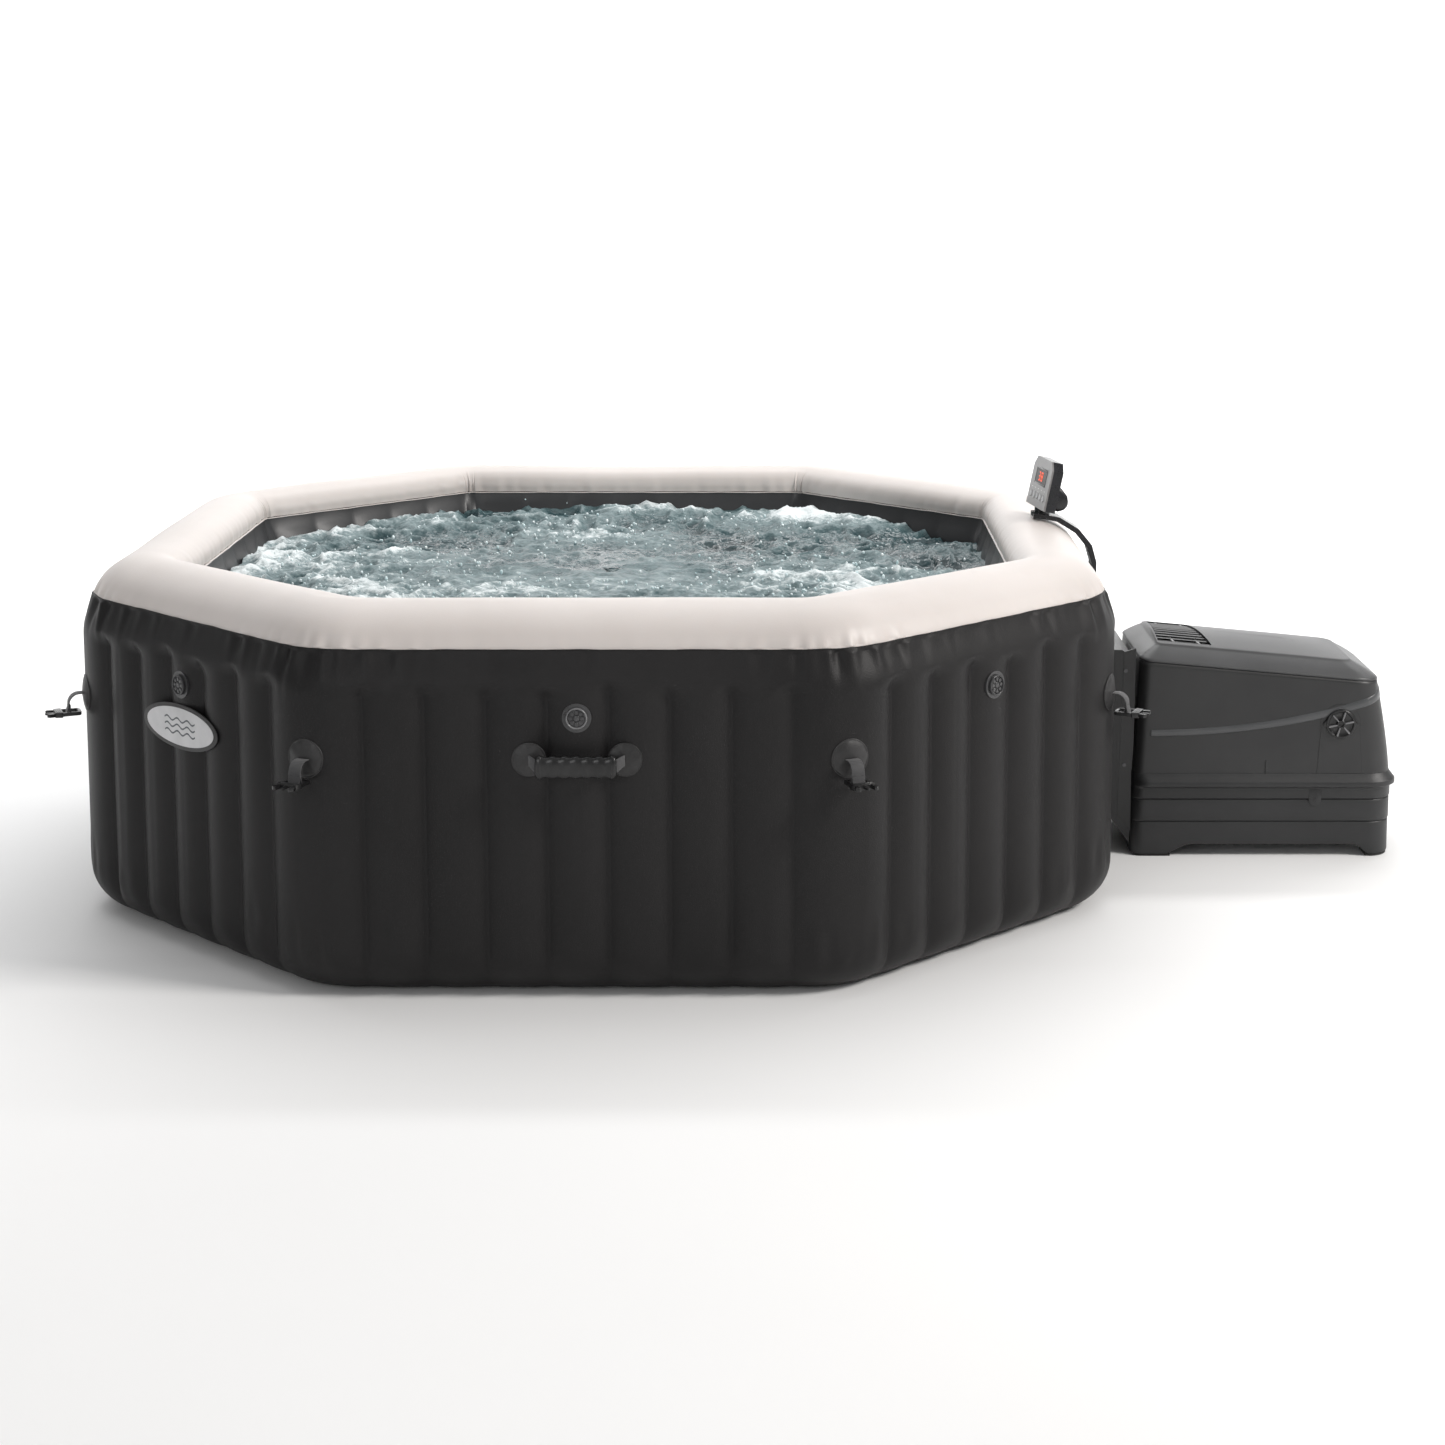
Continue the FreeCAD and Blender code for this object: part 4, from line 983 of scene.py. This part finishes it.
TRAY_LOW, TRAY_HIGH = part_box("base_tray")
FLANGE_OUT = 0.012
PUMP_LEFT = TRAY_LOW.x
PUMP_RIGHT = TRAY_HIGH.x - FLANGE_OUT
PUMP_FRONT = TRAY_LOW.y + FLANGE_OUT
PUMP_BACK = TRAY_HIGH.y - FLANGE_OUT
FLANGE_Z = TRAY_HIGH.z
LID_Z = 0.450
LID_SLOPE = math.tan(math.radians(5.2))
LID_THICK = 0.035
LID_CROWN = 0.013
LEAN_RIGHT = 0.031
LEAN_LEFT = 0.013
SMALL_ROUND = 0.025
LARGE_ROUND = 0.050
CORNER_STEPS = 12
SIDE_STEPS = 64


def plan(left, right, front, back, small, large):
    """Points round a rounded rectangle from its front left corner, always the same count."""
    corners = [((left + small, front + small), small, 180), ((right - large, front + large), large, 270),
               ((right - large, back - large), large, 0), ((left + small, back - small), small, 90)]
    parts = []
    for index, ((x, y), radius, start) in enumerate(corners):
        angles = np.radians(np.linspace(start, start + 90, CORNER_STEPS))
        arc = np.stack([x + radius * np.cos(angles), y + radius * np.sin(angles)], axis=1)
        (next_x, next_y), next_radius, next_start = corners[(index + 1) % 4]
        turn = math.radians(next_start)
        end = np.array([next_x + next_radius * math.cos(turn), next_y + next_radius * math.sin(turn)])
        steps = np.linspace(0, 1, SIDE_STEPS + 1)[1:-1, None]
        parts += [arc, arc[-1] + (end - arc[-1]) * steps]
    return np.concatenate(parts)


PLAN_COUNT = 4 * (CORNER_STEPS + SIDE_STEPS - 1)


def cover_plan(share, grow=0.0, inset=0.0, inset_right=0.0):
    """The upper cover's outline a share of the way from the flange to the lid."""
    left = PUMP_LEFT + LEAN_LEFT * share - grow + inset
    right = PUMP_RIGHT - LEAN_RIGHT * share ** 1.4 + grow - inset_right
    small = max(0.008, SMALL_ROUND + grow - 0.4 * inset)
    large = max(0.012, LARGE_ROUND + grow - 0.4 * inset_right)
    return plan(left, right, PUMP_FRONT - grow + inset, PUMP_BACK + grow - inset, small, large)


def lid_plane(x):
    return LID_Z - (x - PUMP_LEFT) * LID_SLOPE


def lid_height(x, y):
    """The crowned top surface of the lid."""
    across = np.clip((y - PUMP_FRONT - 0.036) / (PUMP_BACK - PUMP_FRONT - 0.072), 0, 1)
    toward_right = np.clip((PUMP_RIGHT - LEAN_RIGHT - 0.050 - x) / 0.16, 0, 1)
    crown = LID_CROWN * (1 - (2 * across - 1) ** 2) * np.sin(toward_right * math.pi / 2)
    return lid_plane(x) + crown


def with_height(points, z):
    return np.column_stack([points, np.broadcast_to(z, len(points))])


def make_cover():
    """The leaning front, sides and back of the unit, from the flange up to the lid."""
    rows = []
    for share in np.linspace(0, 1, 30):
        points = cover_plan(share)
        top = lid_plane(points[:, 0]) - LID_THICK
        rows.append(with_height(points, FLANGE_Z + share * (top - FLANGE_Z)))
    tuck = cover_plan(1.0, -0.0030)
    rows.append(with_height(tuck, lid_plane(tuck[:, 0]) - LID_THICK + 0.0004))
    rows_object("cover_skin", rows, ["pump"], ("upper_cover",))


def vent_outline():
    """The vent's four corners on the lid: its right end slants."""
    left = PUMP_LEFT + LEAN_LEFT + 0.042
    return [(left, PUMP_FRONT + 0.052), (left + 0.112, PUMP_FRONT + 0.052), (left + 0.086, PUMP_BACK - 0.052),
            (left, PUMP_BACK - 0.052)]


def lid_rows():
    """The lid's rows of points from its lower edge to its middle, and where its chamfered band ends."""
    rows = []
    edge = [(-0.0030, -LID_THICK + 0.0012), (0.0, -LID_THICK + 0.0014), (0.0008, -LID_THICK + 0.0022),
            (0.0006, -LID_THICK + 0.0040), (-0.0010, -LID_THICK + 0.0065)]
    for grow, drop in edge:
        points = cover_plan(1.0, grow)
        rows.append(with_height(points, lid_plane(points[:, 0]) + drop))
    band_rows = 10
    for step in range(1, band_rows + 1):
        share = step / band_rows
        bulge = 0.0030 * math.sin(math.pi * share)
        points = cover_plan(1.0, -0.001, 0.036 * share - bulge * 0.6, 0.050 * share - bulge)
        drop = (-LID_THICK + 0.0065) * (1 - share) - 0.0024 * share
        rows.append(with_height(points, lid_plane(points[:, 0]) + drop))
    band_end = len(rows)
    for extra, drop in ((0.0012, -0.0010), (0.0030, -0.0002)):
        points = cover_plan(1.0, -0.001, 0.036 + extra, 0.050 + extra)
        rows.append(with_height(points, lid_height(points[:, 0], points[:, 1]) + drop))
    half = (PUMP_BACK - PUMP_FRONT) / 2 - 0.0365
    top_rows = 25
    for step in range(1, top_rows + 1):
        inset = 0.039 + (half - 0.0125) * step / top_rows
        points = cover_plan(1.0, -0.001, inset, inset + 0.014)
        rows.append(with_height(points, lid_height(points[:, 0], points[:, 1])))
    return rows, band_end


def vent_sides():
    """The vent's four sides, each as its start, its end and the direction out of the vent."""
    corners = vent_outline()
    middle = Vector((sum(x for x, _ in corners) / 4, sum(y for _, y in corners) / 4, 0))
    sides = []
    for first, second in zip(corners, corners[1:] + corners[:1]):
        start, end = Vector((*first, 0)), Vector((*second, 0))
        normal = Vector((end.y - start.y, start.x - end.x, 0)).normalized()
        if normal.dot(middle - start) > 0:
            normal = -normal
        sides.append((start, end, normal))
    return middle, sides


def cut_vent(bm):
    """Cuts the vent's opening out of the lid."""
    middle, sides = vent_sides()
    for start, _, normal in sides:
        near = []
        for face in bm.faces:
            centre = face.calc_center_median()
            if (centre.xy - middle.xy).length < 0.20 and centre.z > 0.40:
                near.append(face)
        geometry = near + list({e for f in near for e in f.edges}) + list({v for f in near for v in f.verts})
        bmesh.ops.bisect_plane(bm, geom=geometry, plane_co=start, plane_no=normal, dist=1e-6)
    inside = []
    for face in bm.faces:
        centre = face.calc_center_median()
        if all((centre - start).xy.dot(normal.xy) < 0 for start, _, normal in sides):
            inside.append(face)
    bmesh.ops.delete(bm, geom=inside, context="FACES")


def make_lid():
    """The lid: a chamfered band and a crowned top, both painted lighter than the cover for the light falling on
    them from above, with the vent's opening in it.
    """
    rows, band_end = lid_rows()
    bm = bmesh.new()
    mesh_into(bm, np.concatenate(rows), grid_faces(PLAN_COUNT, len(rows)))
    bm.faces.new(list(bm.verts)[-PLAN_COUNT:])
    bm.faces.ensure_lookup_table()
    # The band's faces get the band's painted-light copy of the pump plastic, and the top's faces get the top's.
    for index, face in enumerate(bm.faces):
        face.material_index = 1 if index < (band_end + 1) * PLAN_COUNT else 0
    cut_vent(bm)
    bmesh_object("lid_skin", bm, ["painted_light_pump_top", "painted_light_pump_band"], TUB, ("top_cover",))


def make_vent():
    """The black slatted vent sunk in the lid's left end."""
    well = bmesh.new()
    steps = 12
    for start, end, _ in vent_sides()[1]:
        ring = []
        for step in range(steps + 1):
            spot = start.lerp(end, step / steps)
            height = float(lid_height(spot.x, spot.y))
            ring.append([well.verts.new((spot.x, spot.y, height + up)) for up in (0.0004, -0.024)])
        for (a_top, a_low), (b_top, b_low) in zip(ring, ring[1:]):
            well.faces.new((a_top, b_top, b_low, a_low))
    corners = vent_outline()
    well.faces.new([well.verts.new((x, y, float(lid_height(x, y)) - 0.0235)) for x, y in corners])
    left, front = corners[0]
    back = corners[3][1]
    slats = 11
    for step in range(slats):
        share = (step + 0.5) / slats
        y = front + (back - front) * share
        long = corners[1][0] + (corners[2][0] - corners[1][0]) * share - left
        blade = [(0, -0.0022), (long, -0.0022), (long, 0.0022), (0, 0.0022)]
        place = Matrix.Translation((left, y, float(lid_height(left, y))))
        tilt = Matrix.Rotation(math.atan(LID_SLOPE), 4, "Y") @ Matrix.Rotation(math.radians(24), 4, "X")
        slab(well, blade, -0.018, -0.0045, place @ tilt)
    for share in (0.38, 0.86):
        x = left + 0.112 * share - 0.012
        z = float(lid_height(x, (front + back) / 2))
        bar = [(x, front), (x + 0.005, front), (x - 0.005, back), (x - 0.010, back)]
        slab(well, bar, z - 0.0085 - LID_CROWN, z - 0.0020 - LID_CROWN * 0.6)
    bmesh_object("vent_skin", well, ["black"], TUB, ("vent_grille",), smooth=False)


def foot_height(x, y):
    """The tray's lower edge: feet near the corners, raised between them."""
    at_left = 1 - smoothstep(PUMP_LEFT + 0.070, PUMP_LEFT + 0.125, x)
    at_right = smoothstep(PUMP_RIGHT - 0.078, PUMP_RIGHT - 0.046, x)
    in_x = np.maximum(at_left, at_right)
    off = np.minimum(y - PUMP_FRONT, PUMP_BACK - y)
    in_y = 1 - smoothstep(0.058, 0.085, off)
    return 0.0256 - 0.0204 * in_x * in_y


def make_tray():
    """The base tray: feet, three lapped bands, the flange's lip and its sloping apron."""
    rows = []
    profile = [(-0.0025, 0.0), (-0.0006, 0.0006), (0.0, 0.0025)]
    for grow, up in profile:
        points = plan(PUMP_LEFT, PUMP_RIGHT + grow, PUMP_FRONT - grow, PUMP_BACK + grow, SMALL_ROUND,
                      LARGE_ROUND)
        rows.append(with_height(points, foot_height(points[:, 0], points[:, 1]) + up))
    bands = [(0.0, 0.0300), (0.0, 0.0500), (0.0, 0.0715),
             (-0.0004, 0.0728), (-0.0026, 0.0736), (-0.0026, 0.0748),
             (0.0004, 0.0762), (0.0012, 0.0780), (0.0012, 0.1000), (0.0012, 0.1195), (0.0008, 0.1208),
             (-0.0016, 0.1216), (-0.0016, 0.1228), (0.0018, 0.1242), (0.0026, 0.1260), (0.0026, 0.1440),
             (0.0032, 0.1472), (0.0100, 0.1500), (0.0118, 0.1512), (0.0120, 0.1525), (0.0120, 0.1600),
             (0.0114, 0.1614), (0.0100, 0.1630), (0.0056, 0.1690), (0.0022, 0.1750), (0.0012, 0.1772),
             (-0.0010, 0.1778)]
    for grow, z in bands:
        points = plan(PUMP_LEFT, PUMP_RIGHT + grow, PUMP_FRONT - grow, PUMP_BACK + grow, SMALL_ROUND + grow,
                      LARGE_ROUND + grow)
        lean = smoothstep(FLANGE_Z, FLANGE_Z + 0.02, z) * 0.002
        points[:, 0] = points[:, 0] - lean * (points[:, 0] > PUMP_RIGHT - 0.05)
        rows.append(with_height(points, z))
    faces = grid_faces(PLAN_COUNT, len(rows))
    inner = 0.003
    points = plan(PUMP_LEFT + inner, PUMP_RIGHT - inner, PUMP_FRONT + inner, PUMP_BACK - inner, SMALL_ROUND,
                  LARGE_ROUND)
    rows.append(with_height(points, 0.0262))
    faces.append(tuple(len(rows) * PLAN_COUNT - 1 - i for i in range(PLAN_COUNT)))
    add_object("tray_skin", np.concatenate(rows), faces, ["pump_low"], ("base_tray",))


def cover_spot(column, z, out):
    """A point on the cover's skin at one plan column and height, moved out from it."""
    x_near = cover_plan(0.5)[column][0]
    share = (z - FLANGE_Z) / (lid_plane(x_near) - LID_THICK - FLANGE_Z)
    points = cover_plan(share)
    ahead, behind = points[(column + 1) % PLAN_COUNT], points[column - 1]
    along = ahead - behind
    along /= np.linalg.norm(along)
    return points[column][0] + along[1] * out, points[column][1] - along[0] * out, z


def make_swoosh():
    """The lighter band that sweeps up along the front and round the right end."""
    first = CORNER_STEPS
    last = CORNER_STEPS + SIDE_STEPS + CORNER_STEPS - 1
    section = [(-0.0068, -0.0004), (-0.0064, 0.0010), (-0.0052, 0.0018), (0.0046, 0.0018), (0.0062, 0.0010),
               (0.0068, -0.0004)]
    path = 0.0
    middle_x = cover_plan(0.4)
    rows = [[] for _ in section]
    previous = middle_x[first]
    total = PUMP_RIGHT - PUMP_LEFT
    for column in range(first, last):
        path += float(np.linalg.norm(middle_x[column] - previous))
        previous = middle_x[column]
        share = path / total
        height = 0.2630 + 0.004 * share + 0.088 * share ** 2.1
        for row, (up, out) in zip(rows, section):
            row.append(cover_spot(column, height + up * (1 + 0.25 * share), out))
    faces = grid_faces(last - first, len(section), closed=False)
    add_object("swoosh_skin", np.concatenate(rows), faces, ["trim"], ("swoosh_trim",))


def front_place(x, z, out=0.0):
    """A matrix whose Z looks out of the unit's front wall and whose X and Y run right and up along it."""
    return Matrix(((1, 0, 0, x), (0, 0, -1, PUMP_FRONT - out), (0, 1, 0, z), (0, 0, 0, 1)))


def door_outline(grow, low):
    """The arched door, a little wider at its foot."""
    points = []
    for step in range(41):
        angle = math.radians(-14 + 208 * step / 40)
        points.append(((0.041 + grow) * math.cos(angle), (0.041 + grow) * math.sin(angle)))
    points.append((-0.0465 - grow, low))
    points.append((0.0465 + grow, low))
    return points


def make_door_and_cap():
    """The filter door with its shadow gap, and the six-spoked bayonet cap in it."""
    pivot = Vector(joint_named("filter_cap_turn")["pos_m"])
    low = FLANGE_Z + 0.0150 - pivot.z
    place = front_place(pivot.x, pivot.z)
    bm = bmesh.new()
    slab(bm, door_outline(0.0010, low), -0.001, 0.0002, place, 1)
    slab(bm, door_outline(0.0, low), -0.001, 0.0009, place, 0)
    well, faces = lathe([(0.0002, 0.0330), (0.0010, 0.0330)])
    mesh_into(bm, well, faces, place @ LATHE_TO_Z, 1)
    bmesh_object("door_skin", bm, ["pump", "black"], TUB, ("filter_door",), smooth=False)
    cap = bmesh.new()
    dish = [(0.0012, 0.0310), (0.0052, 0.0310), (0.0064, 0.0300), (0.0070, 0.0285), (0.0066, 0.0262),
            (0.0044, 0.0245), (0.0034, 0.0200), (0.0034, 0.0105), (0.0040, 0.0095), (0.0078, 0.0088),
            (0.0090, 0.0078), (0.0090, 0.0050), (0.0060, 0.0042), (0.0058, 0.0002)]
    verts, faces = lathe(dish, 72)
    mesh_into(cap, verts, faces, place @ LATHE_TO_Z)
    spokes = 6
    spoke = [(0.0080, -0.0013), (0.0262, -0.0018), (0.0262, 0.0018), (0.0080, 0.0013)]
    for step in range(spokes):
        turn = Matrix.Rotation(2 * math.pi * step / spokes + math.radians(12), 4, "Z")
        slab(cap, spoke, 0.0030, 0.0098, place @ turn, 1)
    ear = [(0.0295, -0.0075), (0.0345, -0.0040), (0.0360, 0.0), (0.0345, 0.0040), (0.0295, 0.0075)]
    for side in (0, math.pi):
        slab(cap, ear, 0.0014, 0.0058, place @ Matrix.Rotation(side, 4, "Z"))
    bmesh_object("cap_skin", cap, ["black", "cap_spoke"], "filter_cap", ("filter_cap",),
                 bevel=0.0006)


def make_rib():
    """The small moulded rib on the unit's front."""
    rib = bmesh.new()
    place = front_place(PUMP_LEFT + 0.277, FLANGE_Z + 0.014)
    for reach in (0.0, 0.0008):
        half = 0.0020 - reach
        shape = [(-half, 0.0), (half, 0.0), (half, 0.026 - reach), (0.0, 0.028 - reach),
                 (-half, 0.026 - reach)]
        slab(rib, shape, -0.001, 0.0010 + reach, place)
    bmesh_object("front_rib", rib, ["pump"], TUB, bevel=0.0004)


def make_port():
    """The drain plate in the flange, round at its foot, with its shadow gap and a black disc painted as the shade
    in its hole.
    """
    low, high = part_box("port_cover")
    port = bmesh.new()
    middle = (low.x + high.x) / 2
    wide = (high.x - low.x) / 2
    tall = high.z - low.z
    for grow, depth, material in ((0.0014, -0.0012, 1), (0.0, 0.0030, 0)):
        reach = wide + grow
        shape = [(-reach, tall + grow), (-reach, wide)]
        for degrees in range(180, 361, 10):
            angle = math.radians(degrees)
            shape.append((reach * math.cos(angle), wide + reach * math.sin(angle)))
        shape.append((reach, tall + grow))
        slab(port, shape, -0.0045, depth, front_place(middle, low.z), material)
    # Painted shade: a black disc stands for the dark inside of the drain hole.
    hole, faces = lathe([(0.0030, 0.0048), (0.0034, 0.0048)], 32)
    mesh_into(port, hole, faces, front_place(middle, low.z + wide) @ LATHE_TO_Z, 1)
    bmesh_object("port_skin", port, ["pump_low", "black"], TUB, ("port_cover",), bevel=0.0005)


def make_neck_lines():
    """A black sheet painted as the shade in the recess beside the neck, and two fine black lines painted as the
    shade in its collar's creases.
    """
    low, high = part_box("neck_cowl")
    place = Matrix(((1, 0, 0, 0), (0, 0, -1, low.y), (0, 1, 0, 0), (0, 0, 0, 1)))
    # Painted shade: a black sheet over the shadowed recess between the neck's cowl and the unit's shell.
    gap = bmesh.new()
    shape = [(high.x - 0.0170, high.z - 0.004), (PUMP_LEFT + 0.006, high.z + 0.004),
             (PUMP_LEFT + 0.002, low.z + 0.022), (high.x - 0.0260, low.z + 0.060)]
    slab(gap, shape, -0.002, 0.0006, place)
    bmesh_object("neck_recess_painted_shade", gap, ["black"], TUB, smooth=False)
    # Painted shade: two thin black bars for the shade in the collar's creases.
    collar = bmesh.new()
    wide = 0.0012
    for offset in (0.030, 0.046):
        x = low.x + offset
        bar = [(x, low.z + 0.11), (x + wide, low.z + 0.11), (x + wide - 0.004, high.z - 0.06),
               (x + wide - 0.010, high.z - 0.012), (x - 0.010, high.z - 0.012), (x - 0.004, high.z - 0.06)]
        slab(collar, bar, -0.001, 0.0004, place)
    bmesh_object("collar_crease_painted_shade", collar, ["black"], TUB, smooth=False)


# ---------------------------------------------------------------- control panel

PANEL_AT = Vector(joint_named("panel_swivel")["pos_m"]) + Vector((-0.012, 0, 0.004))
PANEL_SWIVEL = 9.0
PANEL_LEAN = 12.0
KEYS = 5


def panel_place():
    """A matrix whose X runs into the panel from its face, Y along it and Z up it."""
    return (Matrix.Translation(PANEL_AT) @ Matrix.Rotation(math.radians(PANEL_SWIVEL), 4, "Z")
            @ Matrix.Rotation(math.radians(PANEL_LEAN), 4, "Y"))


def face_place(y, z, out):
    """A matrix on the panel's face: X to the reader's right, Y up, Z out towards the reader."""
    local = Matrix(((0, 0, -1, -out), (-1, 0, 0, y), (0, 1, 0, z), (0, 0, 0, 1)))
    return panel_place() @ local


def digit_bars(digit):
    """Which of the seven bars a digit lights, as (x, y, upright) in half digit heights."""
    bars = {"top": (0, 1, False), "middle": (0, 0, False), "bottom": (0, -1, False),
            "upper_left": (-0.5, 0.5, True), "lower_left": (-0.5, -0.5, True),
            "upper_right": (0.5, 0.5, True), "lower_right": (0.5, -0.5, True)}
    lit = {3: ("top", "middle", "bottom", "upper_right", "lower_right"), 8: tuple(bars)}
    return [bars[name] for name in lit[digit]]


def make_panel_details():
    """Lit digits behind the window, icons over the keys and a thin frame round the window."""
    digits = bmesh.new()
    half = 0.0085
    for index, digit in enumerate((3, 8)):
        middle = -0.009 + 0.018 * index
        for x, y, upright in digit_bars(digit):
            long, wide = half * 0.42, 0.0013
            if upright:
                corners = [(-wide, -long), (0, -long - wide), (wide, -long), (wide, long), (0, long + wide),
                           (-wide, long)]
            else:
                corners = [(-long, -wide), (long, -wide), (long + wide, 0), (long, wide), (-long, wide),
                           (-long - wide, 0)]
            place = face_place(-(middle + x * half), 0.065 + y * half, 0.0006)
            slab(digits, corners, 0.0, 0.0003, place)
    bmesh_object("lit_digits", digits, ["digits"], "panel", smooth=False)
    marks = bmesh.new()
    ring, ring_faces = lathe([(0.0, 0.0086), (0.0004, 0.0086), (0.0004, 0.0080), (0.0, 0.0080)], 32)
    bar = [(-0.003, -0.0006), (0.003, -0.0006), (0.003, 0.0006), (-0.003, 0.0006)]
    for step in range(KEYS):
        y = -0.048 + 0.024 * step
        mesh_into(marks, ring, ring_faces[:-2], panel_place() @ Matrix.Translation((-0.0004, y, 0.024)))
        slab(marks, bar, 0.0, 0.0002, face_place(y, 0.0385, 0.0002))
    bmesh_object("panel_marks", marks, ["ink"], "panel", smooth=False)
    frame_mesh = bmesh.new()
    wide, tall, thick = 0.0415, 0.0185, 0.003
    for side in (-1, 1):
        near_y, far_y = side * (tall - thick), side * tall
        near_x, far_x = side * (wide - thick), side * wide
        rail = [(-wide, near_y), (wide, near_y), (wide, far_y), (-wide, far_y)]
        post = [(near_x, -tall), (far_x, -tall), (far_x, tall), (near_x, tall)]
        slab(frame_mesh, rail, -0.0002, 0.0009, face_place(0, 0.065, 0.0))
        slab(frame_mesh, post, -0.0002, 0.0009, face_place(0, 0.065, 0.0))
    bmesh_object("window_frame", frame_mesh, ["panel_black"], "panel", bevel=0.0004)
    knuckle = bmesh.new()
    shape = [(0.018, 0.004), (0.046, 0.000), (0.060, 0.006), (0.066, 0.020), (0.060, 0.036), (0.044, 0.050),
             (0.018, 0.058)]
    upright = Matrix(((1, 0, 0, 0), (0, 0, 1, 0), (0, 1, 0, 0), (0, 0, 0, 1)))
    slab(knuckle, shape, -0.026, 0.026, panel_place() @ upright)
    bmesh_object("panel_knuckle", knuckle, ["panel_black"], "panel", bevel=0.008)


def paint_cad_nodes():
    """Gives every CAD node that still shows its finish."""
    finish = {
        "charcoal_pvc": "wall", "cream_pvc": "roll", "liner_pvc": "liner",
        "webbing": "webbing", "patch_pvc": "patch",
        "black_plastic": "black", "valve_plastic": "valve",
        "badge_plastic": "badge_face", "pump_dark": "pump",
        "pump_light": "painted_light_pump_top", "trim_grey": "trim", "pipe_plastic": "pipe", "foot_rubber": "rubber",
        "filter_media": "paper", "motor_metal": "can", "heater_metal": "steel", "board_green": "board",
        "screw_steel": "can", "panel_black": "panel_black",
        "panel_grey": "panel_grey", "display_glass": "glass",
        "key_grey": "key"}
    slots = {row["node"]: row["material_slot"] for row in frame["record"]["subparts"]}
    for name, obj in NODES.items():
        mat = MATS[finish[slots[name]]]
        if not obj.data.materials:
            obj.data.materials.append(mat)
        for index in range(len(obj.data.materials)):
            obj.data.materials[index] = mat


def soften_cad_nodes():
    """Rounds the edges of the CAD pieces that show."""
    widths = {"panel_housing": 0.003, "panel_bezel": 0.0012, "panel_bracket": 0.006, "panel_post": 0.001,
              "neck_cowl": 0.016, "housing_screws": 0.0006, "union_nuts": 0.001, "rubber_feet": 0.001,
              "cord_gland": 0.0008, "wall_fittings": 0.001, "strainers": 0.001, "valve_bases": 0.0008,
              "display_window": 0.0005}
    for number in range(1, KEYS + 1):
        widths["key_%d" % number] = 0.0008
    for name, width in widths.items():
        add_bevel(NODES[name], width)


# ---------------------------------------------------------------- stage, camera, light

def make_stage():
    """A pale floor that curves up into the backdrop."""
    verts = []
    bend, start = 6.0, 10.0
    rows = [(-30.0, 0.0)]
    for step in range(25):
        angle = math.radians(90 * step / 24)
        rows.append((start + bend * math.sin(angle), bend * (1 - math.cos(angle))))
    rows.append((start + bend, 30.0))
    for y, z in rows:
        verts += [(-40.0, y, z), (40.0, y, z)]
    faces = [(2 * i, 2 * i + 1, 2 * i + 3, 2 * i + 2) for i in range(len(rows) - 1)]
    mesh = bpy.data.meshes.new("studio_floor")
    mesh.from_pydata(verts, [], faces)
    mesh.polygons.foreach_set("use_smooth", [True] * len(mesh.polygons))
    floor = bpy.data.objects.new("studio_floor", mesh)
    bpy.context.scene.collection.objects.link(floor)
    mat, nodes, links, shader = new_material("studio_pale")
    clouds = noise_node(nodes, links, 0.6, 2.0)
    ramp = ramp_node(nodes, links, clouds.outputs["Fac"], (0.86, 0.86, 0.86), (0.88, 0.88, 0.88))
    links.new(ramp.outputs["Color"], shader.inputs["Base Color"])
    shader.inputs["Roughness"].default_value = 0.8
    mesh.materials.append(mat)


def add_area(name, place, target, size, power, colour=(1, 1, 1)):
    light = bpy.data.lights.new(name, "AREA")
    light.shape = "RECTANGLE"
    light.size, light.size_y = size
    light.energy = power
    light.color = colour
    obj = bpy.data.objects.new(name, light)
    bpy.context.scene.collection.objects.link(obj)
    obj.location = place
    obj.rotation_euler = (Vector(target) - Vector(place)).to_track_quat("-Z", "Y").to_euler()


def make_light():
    world = bpy.data.worlds.new("studio_air")
    bpy.context.scene.world = world
    world.use_nodes = True
    world.node_tree.nodes["Background"].inputs["Color"].default_value = (1.0, 1.0, 1.0, 1)
    world.node_tree.nodes["Background"].inputs["Strength"].default_value = 0.34
    add_area("key", (5.8, -2.4, 4.4), (0.1, 0, 0.4), (1.8, 1.8), 350, (1.0, 0.97, 0.94))
    add_area("over", (-0.4, 0.8, 5.4), (0, 0, 0.3), (5.0, 4.0), 80)
    add_area("front", (-2.5, -6.5, 2.6), (0, 0, 0.2), (3.0, 2.0), 60)
    add_area("backdrop", (0, 6.0, 8.5), (0, 13.0, 0.5), (18.0, 6.0), 3000)
    bpy.context.scene.view_settings.view_transform = "Standard"


def make_camera():
    """A level-headed view from the front, a little right of the middle, with a long lens."""
    data = bpy.data.cameras.new("camera")
    camera = bpy.data.objects.new("camera", data)
    bpy.context.scene.collection.objects.link(camera)
    camera.location = (0.3450, -5.3258, 1.5297)
    camera.rotation_euler = (math.radians(90 - 7.7), 0, 0)
    data.sensor_width = 36.0
    data.lens = 64.067
    data.shift_x = -0.0379
    data.shift_y = -0.1788
    bpy.context.scene.camera = camera


make_camera()
make_stage()
make_light()
make_wall()
make_roll()
make_seams()
make_liner()
make_air_channel()
make_floor()
make_water()
make_spray()
make_straps()
make_handles()
make_valves()
make_badge()
make_cover()
make_lid()
make_vent()
make_tray()
make_swoosh()
make_door_and_cap()
make_rib()
make_port()
make_neck_lines()
make_panel_details()
paint_cad_nodes()
soften_cad_nodes()
